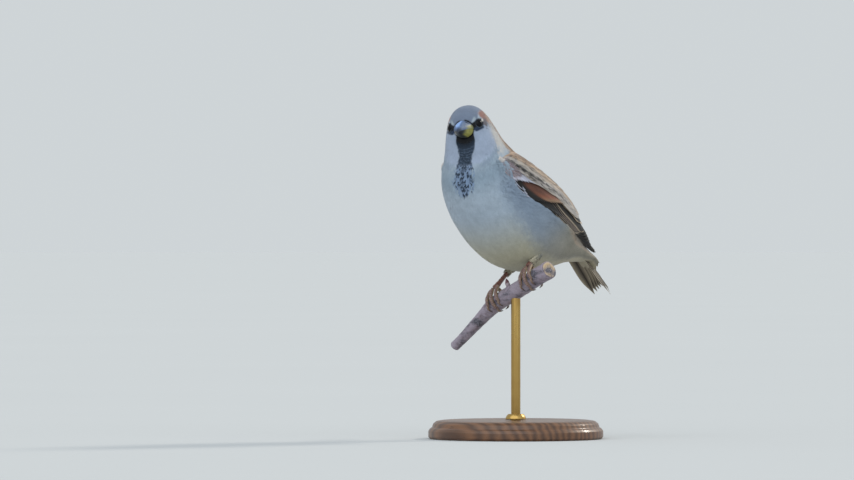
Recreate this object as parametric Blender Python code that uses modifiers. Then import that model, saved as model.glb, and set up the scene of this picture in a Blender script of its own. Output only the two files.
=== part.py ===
"""A male house sparrow at life size, gripping a cut length of branch that a plain stand holds up.

The bird faces -Y, with its left side at +X and the stand's underside at z = 0. Its body is one
surface, lofted through the sections below and parted by thin gaps into head, neck, trunk and tail.
The wings are shells that lie on that surface. Lengths are in millimetres until a mesh is made.
"""

import math

import bmesh
import bpy
import numpy as np
from mathutils import Matrix, Vector

MM = 0.001
GAP = 0.3  # left between neighbouring pieces
SIDES = 32  # points round a body section
ROW_STEP = 0.5  # of a section, between rings of the body

# The belly's lowest point stands here; the body's own tables are measured from it.
BELLY_POINT = np.array([-5.5, 2.0, 80.0])

# Sections of the body from the face to the root of the tail, for a bird looking straight ahead:
# back point (y, z), belly point (y, z), half width, height of the widest level as a share.
SECTIONS = (
    (-37.5, 72.4, -36.1, 63.6, 4.7, 0.50),  # face, where the bill is set
    (-35.6, 75.7, -36.7, 61.5, 6.1, 0.52),  # lores
    (-31.5, 78.7, -37.2, 59.5, 7.9, 0.52),  # eyes
    (-26.1, 79.8, -37.4, 56.7, 9.8, 0.50),  # crown
    (-20.2, 77.6, -37.5, 53.8, 11.6, 0.45),  # cheeks
    (-14.8, 72.6, -37.7, 50.5, 13.1, 0.44),  # nape
    (-11.2, 66.2, -37.5, 46.5, 15.0, 0.46),  # neck
    (-6.0, 60.0, -36.9, 41.5, 18.3, 0.50),  # collar
    (2.0, 54.2, -35.4, 35.5, 21.0, 0.50),  # shoulders
    (10.5, 48.0, -32.2, 28.5, 23.2, 0.50),  # breast
    (19.0, 41.6, -26.5, 20.0, 24.0, 0.50),  # back
    (26.8, 35.2, -18.0, 10.6, 22.8, 0.50),  # flanks
    (32.6, 29.4, -7.0, 3.2, 19.4, 0.50),  # belly
    (37.4, 23.4, 7.0, 0.2, 15.2, 0.50),  # rump
    (41.4, 17.8, 21.0, 2.0, 11.4, 0.52),  # vent
    (44.6, 13.0, 34.0, 4.6, 8.6, 0.58),
    (50.6, 7.9, 47.4, 4.8, 7.6, 0.50),  # end of the tail coverts
)
CHEEKS, BREAST, COVERTS_END = 4, 9, len(SECTIONS) - 1
SQUARENESS = 2.15  # 2 is an ellipse

# Where the body is parted, in sections from the face.
HEAD_END, NECK_END, TRUNK_END = 4.5, 7.0, 14.5

# The head is turned to its left and leaned over about this point, fading out down the neck.
HEAD_PIVOT = np.array([0.0, -27.6, 69.0])
HEAD_YAW = math.radians(32)
HEAD_ROLL = math.radians(8.5)

BILL_BASE = np.array([0.0, -36.75, 68.6])  # on the unturned bird
BILL_DIP = math.radians(9)
BILL_LENGTH = 10.5
BILL_HALF_WIDTH = 4.8
CULMEN = 4.4  # height of the upper mandible over the cut between the two
GONYS = 3.7  # depth of the lower one

EYE_RADIUS = 2.6
EYE_PROUD = 0.8  # of the plumage round it
EYE_PLACE = (1.72, math.radians(88))  # on the body surface

# The folded wing on the body surface, from wrist to tip: section of the body, angle of its upper
# and lower edges in degrees from the midline of the back, thickness.
WING_ROWS = (
    (6.35, 94, 98, 0.7),
    (6.9, 68, 98, 1.2),
    (7.8, 50, 97, 2.3),
    (8.9, 39, 94, 2.7),
    (10.0, 31, 85, 2.7),
    (11.1, 25, 76, 2.6),
    (12.2, 21, 66, 2.8),
    (13.2, 18, 60, 3.0),
    (14.1, 17, 57, 3.1),
    (15.0, 18, 55, 2.9),
    (15.8, 22, 50, 2.2),
)
WING_EDGE = 0.6  # thickness of a wing along its edges
WRIST_END = 4.0  # rows of the table that each piece of the wing takes
FLIGHT_START = 4.035
SECONDARIES_END = 8.4
WING_STEP = 0.45  # of a row, between points along a wing
PRIMARIES_SHARE = 0.52  # of the way down from the upper edge to the lower one

# The tail feathers' blade, behind the coverts.
TAIL_TIP = np.array([0.0, 63.8, -8.0])
TAIL_HALF_WIDTHS = (7.6, 7.8, 8.1, 8.3, 7.8)
TAIL_HALF_DEPTHS = (2.1, 1.5, 1.1, 0.8, 0.6)
TAIL_NOTCH = 2.5

# The branch's centre line (x, z), with its half thickness.
BRANCH_ROWS = (
    (-43.5, 43.9, 2.4),
    (-35.5, 49.3, 2.6),
    (-28.5, 54.5, 2.9),
    (-21.0, 60.1, 3.4),
    (-15.0, 64.2, 3.9),
    (-7.5, 67.7, 4.0),
    (-0.5, 70.6, 4.0),
    (7.5, 74.2, 4.1),
    (15.5, 77.8, 4.2),
    (23.5, 81.2, 4.3),
)

# Each foot: its place along the branch, the way the tarsus runs up from it to the heel, and the
# shares of the tarsus between which the feathered thigh opens out round it.
FEET = {
    "right": (-11.5, (-0.5, 14.6, 13.2), (0.6, 1.05)),
    "left": (12.0, (-2.5, 13.6, 13.8), (0.15, 0.42)),
}
KNUCKLE = 1.35
ARCH = 1.4  # height of the foot's ball over where its toes lie on the bark
TARSUS_RADII = (KNUCKLE, 1.05, 0.95, 0.95, 1.1, 1.5)
TOE_RADII = (1.15, 1.1, 1.0, 1.05, 0.8)
CLAW_RADII = (0.62, 0.55, 0.42, 0.26, 0.15)
CLAW_LENGTH = 4.2
CLAW_HOOK = 0.9  # how far a claw bows off the bark
# Toes, seen from above the foot: place beside the middle one at root and tip, angle round the
# branch from its top where the toe starts (forward is positive), length.
TOES = (
    ("hallux", 0.0, 0.0, -19, -8.6),
    ("inner", -2.8, -3.9, 8, 9.4),
    ("middle", 0.0, 0.0, 19, 12.2),
    ("outer", 2.8, 3.9, 8, 9.8),
)
THIGH_RADII = (1.9, 2.9, 4.2, 5.0)

BASE_RADIUS = 42.0
BASE_HEIGHT = 9.0
ROD_RADIUS = 2.25
ROD_FOOT = 3.0  # height of the blind hole's floor in the base
ROD_TOP = 71.4
COLLAR_RADIUS = 5.0
COLLAR_HEIGHT = 2.6


def material(name, colour, roughness, metallic=0.0):
    made = bpy.data.materials.get(name) or bpy.data.materials.new(name)
    made.use_nodes = True
    shader = made.node_tree.nodes["Principled BSDF"]
    shader.inputs["Base Color"].default_value = (*colour, 1.0)
    shader.inputs["Roughness"].default_value = roughness
    shader.inputs["Metallic"].default_value = metallic
    return made


def spline(rows, where):
    """Rows of a table read at fractional row numbers, along a Catmull-Rom curve."""
    rows = np.asarray(rows, float)
    last = len(rows) - 1
    where = np.clip(np.asarray(where, float), 0, last)
    row = np.minimum(where.astype(int), last - 1)
    t = (where - row)[..., None]
    before, start, end, after = (rows[np.clip(row + k, 0, last)] for k in (-1, 0, 1, 2))
    return 0.5 * (
        2 * start
        + (end - before) * t
        + (2 * before - 5 * start + 4 * end - after) * t**2
        + (3 * start - before - 3 * end + after) * t**3
    )


def smooth(low, high, value):
    """0 below low, 1 above high, and an S curve between."""
    t = np.clip((np.asarray(value, float) - low) / (high - low), 0, 1)
    return t * t * (3 - 2 * t)


def rounded(value, power):
    return np.sign(value) * np.abs(value) ** (2 / power)


def turn_head(points, share):
    """Leans and turns points of the unturned bird about the head's pivot, by a share from 0 to 1."""
    x, y, z = np.moveaxis(points - HEAD_PIVOT, -1, 0)
    roll, yaw = HEAD_ROLL * share, HEAD_YAW * share
    x, z = x * np.cos(roll) - z * np.sin(roll), x * np.sin(roll) + z * np.cos(roll)
    x, y = x * np.cos(yaw) - y * np.sin(yaw), x * np.sin(yaw) + y * np.cos(yaw)
    return np.stack([x, y, z], axis=-1) + HEAD_PIVOT


def body(s, theta):
    """A point of the plumage's outer surface. s counts sections back from the face, and theta goes
    round from the midline of the back, over the left side, to the midline of the belly at pi."""
    s, theta = np.broadcast_arrays(np.asarray(s, float), np.asarray(theta, float))
    back_y, back_z, belly_y, belly_z, half, level = np.moveaxis(spline(SECTIONS, s), -1, 0)
    up = rounded(np.cos(theta), SQUARENESS)
    reach = np.where(up > 0, level + (1 - level) * up, level + level * up)
    x = half * rounded(np.sin(theta), SQUARENESS)
    y = belly_y + (back_y - belly_y) * reach
    z = belly_z + (back_z - belly_z) * reach
    share = 1 - smooth(CHEEKS, BREAST, s)
    return turn_head(np.stack([x, y, z], axis=-1), share) + BELLY_POINT


def body_normal(s, theta):
    """The outward direction of the body's surface, from its slopes along and around."""
    step = 0.02
    along = body(s + step, theta) - body(s - step, theta)
    around = body(s, theta + step) - body(s, theta - step)
    normal = np.cross(around, along)
    return normal / np.linalg.norm(normal, axis=-1, keepdims=True)


def round_angles():
    return np.arange(SIDES) * 2 * math.pi / SIDES


def body_rings(start, end, grow=0.0):
    """Rings of the body from one section to another. The first is set back by the gap, unless it
    is the face, and grow moves the surface outwards."""
    count = max(2, round((end - start) / ROW_STEP) + 1)
    rows = np.linspace(start, end, count)[:, None]
    rings = body(rows, round_angles()) + grow * body_normal(rows, round_angles())
    if start > 0:
        across = np.cross(rings[0, SIDES // 4] - rings[0, 0], rings[0, SIDES // 2] - rings[0, 0])
        across *= np.sign(np.dot(across, rings[1].mean(axis=0) - rings[0].mean(axis=0)))
        rings[0] += GAP * across / np.linalg.norm(across)
    return rings


def add_object(name, mesh, finish, collection="sparrow"):
    thing = bpy.data.objects.new(name, mesh)
    bpy.data.collections[collection].objects.link(thing)
    mesh.materials.clear()
    mesh.materials.append(finish)
    mesh.shade_smooth()
    mesh.set_sharp_from_angle(angle=math.radians(50))
    return thing


def solid_mesh(name, points, faces):
    """A mesh from points in millimetres, with its faces turned outwards."""
    mesh = bpy.data.meshes.new(name)
    mesh.from_pydata([tuple(p) for p in np.asarray(points) * MM], [], faces)
    work = bmesh.new()
    work.from_mesh(mesh)
    bmesh.ops.recalc_face_normals(work, faces=work.faces)
    work.to_mesh(mesh)
    work.free()
    return mesh


def loft(name, rings, finish, collection="sparrow"):
    """A closed solid through a stack of rings with the same number of points, capped at its ends."""
    count, sides = rings.shape[:2]
    faces = [
        (
            r * sides + k,
            r * sides + (k + 1) % sides,
            (r + 1) * sides + (k + 1) % sides,
            (r + 1) * sides + k,
        )
        for r in range(count - 1)
        for k in range(sides)
    ]
    faces.append(tuple(range(sides)))
    faces.append(tuple((count - 1) * sides + k for k in range(sides)))
    return add_object(name, solid_mesh(name, rings.reshape(-1, 3), faces), finish, collection)


def shell(name, outer, inner, finish):
    """A closed shell between two grids of points that share their rows and columns."""
    rows, columns = outer.shape[:2]
    rim = (
        [(0, c) for c in range(columns)]
        + [(r, columns - 1) for r in range(1, rows)]
        + [(rows - 1, c) for c in range(columns - 2, -1, -1)]
        + [(r, 0) for r in range(rows - 2, 0, -1)]
    )
    faces = []
    for side in (0, rows * columns):
        faces += [
            (
                side + r * columns + c,
                side + r * columns + c + 1,
                side + (r + 1) * columns + c + 1,
                side + (r + 1) * columns + c,
            )
            for r in range(rows - 1)
            for c in range(columns - 1)
        ]
    for (r, c), (next_r, next_c) in zip(rim, rim[1:] + rim[:1]):
        here, there = r * columns + c, next_r * columns + next_c
        faces.append((here, there, there + rows * columns, here + rows * columns))
    points = np.concatenate([outer.reshape(-1, 3), inner.reshape(-1, 3)])
    return add_object(name, solid_mesh(name, points, faces), finish)


def tube(name, path, radii, finish, collection="sparrow", roundness=2):
    """A round bar along a path in millimetres, made as a bevelled curve and kept as a mesh."""
    curve = bpy.data.curves.new(name, "CURVE")
    curve.dimensions = "3D"
    curve.bevel_depth = MM
    curve.bevel_resolution = roundness
    curve.use_fill_caps = True
    line = curve.splines.new("POLY")
    line.points.add(len(path) - 1)
    for point, place, radius in zip(line.points, path, radii):
        point.co = (*(np.asarray(place) * MM), 1.0)
        point.radius = radius
    guide = bpy.data.objects.new(name + "_line", curve)
    bpy.data.collections[collection].objects.link(guide)
    graph = bpy.context.evaluated_depsgraph_get()
    mesh = bpy.data.meshes.new_from_object(guide.evaluated_get(graph))
    work = bmesh.new()
    work.from_mesh(mesh)
    bmesh.ops.remove_doubles(work, verts=work.verts, dist=1e-6)
    bmesh.ops.recalc_face_normals(work, faces=work.faces)
    work.to_mesh(mesh)
    work.free()
    bpy.data.objects.remove(guide)
    mesh.name = name
    return add_object(name, mesh, finish, collection)


def ball(name, centre, radius, finish, collection="sparrow", segments=16):
    mesh = bpy.data.meshes.new(name)
    work = bmesh.new()
    place = Matrix.Translation(Vector(centre) * MM)
    bmesh.ops.create_uvsphere(
        work, u_segments=segments, v_segments=segments // 2, radius=radius * MM, matrix=place
    )
    work.to_mesh(mesh)
    work.free()
    return add_object(name, mesh, finish, collection)


def cutter(thing):
    thing.hide_render = True
    thing.display_type = "WIRE"
    return thing


def cut(thing, *tools):
    for tool in tools:
        step = thing.modifiers.new("cut by " + tool.name, "BOOLEAN")
        step.operation = "DIFFERENCE"
        step.object = tool


def turned(name, profile, finish, steps=24):
    """A turned piece from its profile of (radius, height), outer side top to bottom."""
    mesh = bpy.data.meshes.new(name)
    points = [(radius * MM, 0.0, height * MM) for radius, height in profile]
    mesh.from_pydata(points, [(k, k + 1) for k in range(len(points) - 1)], [])
    thing = add_object(name, mesh, finish)
    spin = thing.modifiers.new("turned", "SCREW")
    spin.steps = spin.render_steps = steps
    spin.use_merge_vertices = True
    spin.merge_threshold = 1e-5
    return thing


def bill_point(forward, side, up):
    """From the bill's own frame to the bird: forward along it, to the left, and up."""
    forward, side, up = np.broadcast_arrays(forward, side, up)
    y = -forward * math.cos(BILL_DIP) - up * math.sin(BILL_DIP)
    z = -forward * math.sin(BILL_DIP) + up * math.cos(BILL_DIP)
    return turn_head(np.stack([side, y, z], axis=-1) + BILL_BASE, 1.0) + BELLY_POINT


def mandible(name, height, turn, finish):
    """Half of the bill: half-round rings that shrink along a curve to the tip, flat where the two
    halves meet. turn is 1 for the upper half and -1 for the lower."""
    shares = np.array([0.0, 0.12, 0.26, 0.4, 0.54, 0.67, 0.79, 0.89, 0.965])
    forward = GAP + shares * BILL_LENGTH * (1.0 if turn > 0 else 0.955)
    wide = BILL_HALF_WIDTH * (1 - shares**1.3) ** 0.85
    high = height * (1 - shares**1.45) ** 0.85
    angles = np.linspace(0, math.pi, 13)
    side = wide[:, None] * np.cos(angles) * (1.0 if turn > 0 else 0.93)
    droop = -0.9 * (1 - shares) ** 3
    up = droop[:, None] + turn * (GAP / 2 + high[:, None] * np.sin(angles) ** 0.9)
    return loft(name, bill_point(forward[:, None], side, up), finish)


def make_head(feathers, horn_dark, horn_light, eye_black):
    head = loft("head", body_rings(0, HEAD_END), feathers)
    for name, side in (("left", 1), ("right", -1)):
        s, theta = EYE_PLACE
        centre = body(s, side * theta) - (EYE_RADIUS - EYE_PROUD) * body_normal(s, side * theta)
        ball("eye_" + name, centre, EYE_RADIUS, eye_black)
        socket = ball("socket_" + name, centre, EYE_RADIUS + GAP, eye_black, "cutters")
        cut(head, cutter(socket))
    mandible("bill_upper", CULMEN, 1, horn_dark)
    mandible("bill_lower", GONYS, -1, horn_light)


def tail_rings():
    """Rings of the tail blade behind the coverts, flattening to a shallowly notched end."""
    root = body(COVERTS_END, round_angles())
    centre = root.mean(axis=0)
    tip = TAIL_TIP + BELLY_POINT
    along = (tip - centre) / np.linalg.norm(tip - centre)
    up = np.array([0.0, -along[2], along[1]])
    rings = []
    for k, share in enumerate(np.linspace(0, 1, len(TAIL_HALF_WIDTHS))[1:], start=1):
        x = TAIL_HALF_WIDTHS[k] * rounded(np.sin(round_angles()), 2.8)
        rise = TAIL_HALF_DEPTHS[k] * rounded(np.cos(round_angles()), 2.8)
        notch = TAIL_NOTCH * share**3 * (1 - np.abs(x) / TAIL_HALF_WIDTHS[k])
        line = centre + (tip - centre) * share - notch[:, None] * along
        rings.append(line + rise[:, None] * up + x[:, None] * np.array([1.0, 0.0, 0.0]))
    return np.array(rings)


def make_tail(feathers):
    rings = np.concatenate([body_rings(TRUNK_END, COVERTS_END), tail_rings()])
    loft("tail", rings, feathers)


def wing_piece(name, side, rows, shares, feathers):
    """A part of the wing shell between two rows of its table and two shares of its breadth. It is
    thickest in the middle of the whole wing and thins to its edges."""
    row = np.linspace(*rows, max(4, round((rows[1] - rows[0]) / WING_STEP)))[:, None]
    s, top, low, thick = np.moveaxis(spline(WING_ROWS, row), -1, 0)
    breadth = body(s, np.radians(top)) - body(s, np.radians(low))
    first = shares[0] + (GAP / np.linalg.norm(breadth, axis=-1) if shares[0] > 0 else 0)
    columns = np.linspace(0, 1, 9 if shares[1] - shares[0] > 0.9 else 6)
    share = first + (shares[1] - first) * columns
    theta = side * np.radians(top + (low - top) * share)
    crown = 1 - np.abs(2 * share - 1) ** 3
    height = GAP + WING_EDGE + np.maximum(thick - WING_EDGE, 0.1) * crown
    inner = body(s, theta) + GAP * body_normal(s, theta)
    outer = body(s, theta) + height[..., None] * body_normal(s, theta)
    return shell(name, outer, inner, feathers)


def make_wing(name, side, coverts, flight):
    last = len(WING_ROWS) - 1
    wing_piece("wing_" + name + "_coverts", side, (0, WRIST_END), (0, 1), coverts)
    upper, lower = (0, PRIMARIES_SHARE), (PRIMARIES_SHARE, 1)
    wing_piece("wing_" + name + "_secondaries", side, (FLIGHT_START, SECONDARIES_END), upper, flight)
    wing_piece("wing_" + name + "_primaries", side, (FLIGHT_START, last), lower, flight)


def branch_at(x):
    """The branch's centre, its direction, its upward normal and its half thickness beside x."""
    rows = np.array(BRANCH_ROWS)
    row = np.interp(x, rows[:, 0], np.arange(len(rows)))
    here, ahead = spline(rows, row), spline(rows, row + 0.05)
    along = np.array([ahead[0] - here[0], 0.0, ahead[1] - here[1]])
    along /= np.linalg.norm(along)
    up = np.array([-along[2], 0.0, along[0]])
    return np.array([here[0], 0.0, here[1]]), along, up, here[2]


def wrap(foot_x, beside, angle, height):
    """A point at a height over the bark, at an angle round the branch from its top."""
    centre, along, up, thick = branch_at(foot_x)
    out = up * np.cos(angle) + np.array([0.0, -1.0, 0.0]) * np.sin(angle)
    return centre + along * beside + out * (thick + height)


def make_toe(foot, foot_x, toe, skin, horn):
    name, root, tip, start, length = toe
    reach = branch_at(foot_x)[3] + TOE_RADII[0] + GAP
    start, sweep = math.radians(start), length / reach
    shares = np.linspace(0, 1, 8)
    radii = spline(np.array(TOE_RADII)[:, None], shares * (len(TOE_RADII) - 1))[:, 0]
    path = [
        wrap(
            foot_x,
            root + (tip - root) * t,
            start + sweep * t,
            radius + GAP + ARCH * (1 - t) ** 4,
        )
        for t, radius in zip(shares, radii)
    ]
    tube(f"toe_{foot}_{name}", path, radii, skin)
    turn = math.copysign(CLAW_LENGTH / reach, length)
    first = start + sweep + math.copysign(GAP / reach, length)
    shares = np.linspace(0, 1, 6)
    radii = spline(np.array(CLAW_RADII)[:, None], shares * (len(CLAW_RADII) - 1))[:, 0]
    heights = GAP + CLAW_RADII[0] + CLAW_HOOK * np.sin(math.pi * shares) * (1 - shares)
    path = [wrap(foot_x, tip, first + turn * t, height) for t, height in zip(shares, heights)]
    tube(f"claw_{foot}_{name}", path, radii, horn)


def make_thigh(name, knuckle, rise, shares, slot, feathers):
    """A cone of feathers round the upper tarsus, kept only where it stands out of the belly."""
    axis = Vector(rise).normalized()
    side = np.array(axis.orthogonal().normalized())
    other = np.cross(np.array(axis), side)
    angles = np.arange(16)[:, None] * 2 * math.pi / 16
    rim = np.cos(angles) * side + np.sin(angles) * other
    places = np.linspace(*shares, len(THIGH_RADII))
    rings = np.array([knuckle + rise * t + rim * r for t, r in zip(places, THIGH_RADII)])
    thigh = loft("thigh_" + name, rings, feathers)
    cut(thigh, slot, bpy.data.objects["belly_room"])


def make_leg(name, trunk, skin, horn, feathers):
    """A tarsus seated in the plumage, its foot round the branch, and the feathered thigh."""
    foot_x, rise, cover = FEET[name]
    knuckle = wrap(foot_x, 0.0, 0.0, KNUCKLE + GAP + ARCH)
    shares = np.linspace(0, 1, len(TARSUS_RADII))
    path = [knuckle + np.array(rise) * t for t in shares]
    tube("tarsus_" + name, path, TARSUS_RADII, skin)
    sleeve = [radius + GAP for radius in TARSUS_RADII]
    beyond = path + [knuckle + np.array(rise) * (1 + 0.03)]
    slot = cutter(tube("slot_" + name, beyond, sleeve + sleeve[-1:], skin, "cutters"))
    cut(trunk, slot)
    make_thigh(name, knuckle, np.array(rise), cover, slot, feathers)
    for toe in TOES:
        make_toe(name, foot_x, toe, skin, horn)


def make_stand(wood, metal, bark):
    rows = spline(BRANCH_ROWS, np.linspace(0, len(BRANCH_ROWS) - 1, 19))
    path = [(x, 0.0, z) for x, z, _ in rows]
    perch = tube("perch", path, rows[:, 2], bark, roundness=4)
    hole = bpy.data.meshes.new("rod_hole")
    work = bmesh.new()
    place = Matrix.Translation((0.0, 0.0, (ROD_TOP - 10.0) * MM))
    bmesh.ops.create_cone(
        work,
        cap_ends=True,
        segments=24,
        radius1=(ROD_RADIUS + GAP) * MM,
        radius2=(ROD_RADIUS + GAP) * MM,
        depth=(20.0 + 2 * GAP) * MM,
        matrix=place,
    )
    work.to_mesh(hole)
    work.free()
    cut(perch, cutter(add_object("rod_hole", hole, metal, "cutters")))
    hole_radius = ROD_RADIUS + GAP
    shoulder = BASE_RADIUS - 4.0
    turned(
        "stand_base",
        [
            (0.0, ROD_FOOT),
            (hole_radius, ROD_FOOT),
            (hole_radius, BASE_HEIGHT),
            (shoulder - 3.0, BASE_HEIGHT),
            (shoulder, BASE_HEIGHT - 0.4),
            (shoulder + 1.6, BASE_HEIGHT - 1.6),
            (shoulder + 2.2, BASE_HEIGHT - 3.4),
            (BASE_RADIUS - 0.8, BASE_HEIGHT - 4.0),
            (BASE_RADIUS, BASE_HEIGHT - 5.2),
            (BASE_RADIUS, 1.0),
            (BASE_RADIUS - 1.0, 0.0),
            (0.0, 0.0),
        ],
        wood,
        40,
    )
    foot = ROD_FOOT + GAP
    rod = [(0.0, ROD_TOP), (ROD_RADIUS, ROD_TOP), (ROD_RADIUS, foot), (0.0, foot)]
    turned("stand_rod", rod, metal)
    low = BASE_HEIGHT + GAP
    turned(
        "stand_collar",
        [
            (hole_radius, low + COLLAR_HEIGHT),
            (hole_radius + 1.2, low + COLLAR_HEIGHT),
            (COLLAR_RADIUS - 0.4, low + COLLAR_HEIGHT * 0.6),
            (COLLAR_RADIUS, low + 0.6),
            (COLLAR_RADIUS, low),
            (hole_radius, low),
            (hole_radius, low + COLLAR_HEIGHT),
        ],
        metal,
    )


def clear_scene():
    for thing in list(bpy.data.objects):
        bpy.data.objects.remove(thing)
    for name in ("sparrow", "cutters"):
        made = bpy.data.collections.get(name) or bpy.data.collections.new(name)
        if name not in bpy.context.scene.collection.children:
            bpy.context.scene.collection.children.link(made)
    bpy.data.collections["cutters"].hide_render = True


def main():
    clear_scene()
    grey = material("grey plumage", (0.42, 0.42, 0.43), 0.85)
    brown = material("chestnut plumage", (0.28, 0.13, 0.07), 0.85)
    dark = material("flight feathers", (0.07, 0.05, 0.04), 0.7)
    horn_dark = material("bill horn", (0.09, 0.10, 0.13), 0.35)
    horn_light = material("lower bill horn", (0.35, 0.31, 0.12), 0.4)
    eye_black = material("eye", (0.012, 0.009, 0.008), 0.05)
    skin = material("leg skin", (0.30, 0.14, 0.09), 0.55)
    claw = material("claw horn", (0.06, 0.04, 0.035), 0.4)
    bark = material("bark", (0.30, 0.27, 0.28), 0.9)
    wood = material("stand wood", (0.12, 0.06, 0.03), 0.4)
    metal = material("stand brass", (0.60, 0.45, 0.22), 0.3, 1.0)

    make_head(grey, horn_dark, horn_light, eye_black)
    loft("neck", body_rings(HEAD_END, NECK_END), grey)
    trunk = loft("trunk", body_rings(NECK_END, TRUNK_END), grey)
    cutter(loft("belly_room", body_rings(NECK_END, TRUNK_END, GAP), grey, "cutters"))
    make_tail(dark)
    for name, side in (("left", 1), ("right", -1)):
        make_wing(name, side, brown, dark)
        make_leg(name, trunk, skin, claw, grey)
    make_stand(wood, metal, bark)


main()
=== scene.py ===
"""Looks for the life-size male house sparrow on its cut branch and display stand.

One skin replaces the solids of flesh. It is the body's own surface, set in by the coat's depth, and
separate vanes lie over it like shingles, from the face to the tail. Lengths in here are millimetres
until a mesh is made.
"""

import math

import bpy
import numpy as np
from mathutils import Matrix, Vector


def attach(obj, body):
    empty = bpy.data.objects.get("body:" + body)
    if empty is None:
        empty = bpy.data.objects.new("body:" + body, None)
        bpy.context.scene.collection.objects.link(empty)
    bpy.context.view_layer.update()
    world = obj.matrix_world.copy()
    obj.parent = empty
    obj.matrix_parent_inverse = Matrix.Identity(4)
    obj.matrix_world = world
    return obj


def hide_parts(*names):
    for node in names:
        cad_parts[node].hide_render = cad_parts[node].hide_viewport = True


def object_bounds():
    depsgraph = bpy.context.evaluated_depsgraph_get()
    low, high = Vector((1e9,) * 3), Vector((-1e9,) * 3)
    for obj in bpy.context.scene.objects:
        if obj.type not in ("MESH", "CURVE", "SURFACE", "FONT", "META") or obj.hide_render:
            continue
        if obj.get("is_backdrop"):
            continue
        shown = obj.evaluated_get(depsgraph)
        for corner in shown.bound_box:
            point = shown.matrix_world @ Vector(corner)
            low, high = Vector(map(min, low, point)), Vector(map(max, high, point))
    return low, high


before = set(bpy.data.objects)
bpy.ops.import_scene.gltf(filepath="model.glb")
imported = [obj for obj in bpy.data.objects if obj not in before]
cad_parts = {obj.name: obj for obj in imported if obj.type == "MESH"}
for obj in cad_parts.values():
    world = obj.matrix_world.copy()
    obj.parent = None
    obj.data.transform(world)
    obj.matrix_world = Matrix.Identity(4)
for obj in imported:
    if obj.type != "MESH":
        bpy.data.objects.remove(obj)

MM = 0.001
GAP = 0.3
CAD_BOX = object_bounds()

# ---------------------------------------------------------------- the bird's measures

BELLY_POINT = np.array([-5.5, 2.0, 80.0])
# back point (y, z), belly point (y, z), half width, height of the widest level as a share
SECTIONS = (
    (-37.5, 72.4, -36.1, 63.6, 4.7, 0.50),
    (-35.6, 75.7, -36.7, 61.5, 6.1, 0.52),
    (-31.5, 78.7, -37.2, 59.5, 7.9, 0.52),
    (-26.1, 79.8, -37.4, 56.7, 9.8, 0.50),
    (-20.2, 77.6, -37.5, 53.8, 11.6, 0.45),
    (-14.8, 72.6, -37.7, 50.5, 13.1, 0.44),
    (-11.2, 66.2, -37.5, 46.5, 15.0, 0.46),
    (-6.0, 60.0, -36.9, 41.5, 18.3, 0.50),
    (2.0, 54.2, -35.4, 35.5, 21.0, 0.50),
    (10.5, 48.0, -32.2, 28.5, 23.2, 0.50),
    (19.0, 41.6, -26.5, 20.0, 24.0, 0.50),
    (26.8, 35.2, -18.0, 10.6, 22.8, 0.50),
    (32.6, 29.4, -7.0, 3.2, 19.4, 0.50),
    (37.4, 23.4, 7.0, 0.2, 15.2, 0.50),
    (41.4, 17.8, 21.0, 2.0, 11.4, 0.52),
    (44.6, 13.0, 34.0, 4.6, 8.6, 0.58),
    (50.6, 7.9, 47.4, 4.8, 7.6, 0.50),
)
CHEEKS, BREAST, COVERTS_END = 4, 9, len(SECTIONS) - 1
SQUARENESS = 2.15
HEAD_PIVOT = np.array([0.0, -27.6, 69.0])
HEAD_YAW, HEAD_ROLL = math.radians(32), math.radians(8.5)
BILL_BASE = np.array([0.0, -36.75, 68.6])
BILL_DIP = math.radians(9)
BILL_LENGTH, BILL_HALF_WIDTH, CULMEN, GONYS = 10.5, 4.8, 4.4, 3.7
EYE_RADIUS, EYE_PROUD = 2.6, 0.8
EYE_PLACE = (1.72, math.radians(88))
# section of the body, upper and lower edge in degrees from the back's midline, thickness
WING_ROWS = (
    (6.35, 94, 98, 0.7),
    (6.9, 68, 98, 1.2),
    (7.8, 50, 97, 2.3),
    (8.9, 39, 94, 2.7),
    (10.0, 31, 85, 2.7),
    (11.1, 25, 76, 2.6),
    (12.2, 21, 66, 2.8),
    (13.2, 18, 60, 3.0),
    (14.1, 17, 57, 3.1),
    (15.0, 18, 55, 2.9),
    (15.8, 22, 50, 2.2),
)
WING_EDGE = 0.6
TAIL_TIP = np.array([0.0, 63.8, -8.0])
BRANCH_ROWS = (
    (-43.5, 43.9, 2.4),
    (-35.5, 49.3, 2.6),
    (-28.5, 54.5, 2.9),
    (-21.0, 60.1, 3.4),
    (-15.0, 64.2, 3.9),
    (-7.5, 67.7, 4.0),
    (-0.5, 70.6, 4.0),
    (7.5, 74.2, 4.1),
    (15.5, 77.8, 4.2),
    (23.5, 81.2, 4.3),
)
FEET = {"right": (-11.5, (-0.5, 14.6, 13.2)), "left": (12.0, (-2.5, 13.6, 13.8))}
KNUCKLE, ARCH = 1.35, 1.4
TARSUS_RADII = (KNUCKLE, 1.05, 0.95, 0.95, 1.1, 1.5)
TOE_RADII = (1.15, 1.1, 1.0, 1.05, 0.8)
TOE_SHAPE = (0.98, 0.92, 0.82, 0.88, 0.78, 0.72, 0.55)
CLAW_RADII = (0.62, 0.55, 0.42, 0.26, 0.15)
CLAW_LENGTH, CLAW_HOOK = 4.2, 0.9
TOES = (
    ("hallux", 0.0, 0.0, -19, -8.6),
    ("inner", -2.8, -3.9, 8, 9.4),
    ("middle", 0.0, 0.0, 19, 12.2),
    ("outer", 2.8, 3.9, 8, 9.8),
)
BASE_RADIUS, BASE_HEIGHT = 42.0, 9.0
ROD_RADIUS, ROD_FOOT, ROD_TOP = 2.25, 3.0, 71.4
COLLAR_RADIUS, COLLAR_HEIGHT = 5.0, 2.6


def ink(red, green, blue):
    """A colour given in display steps of 0 to 255, as the linear values that shaders use."""
    c = np.array([red, green, blue]) / 255
    return np.where(c <= 0.04045, c / 12.92, ((c + 0.055) / 1.055) ** 2.4)


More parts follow.
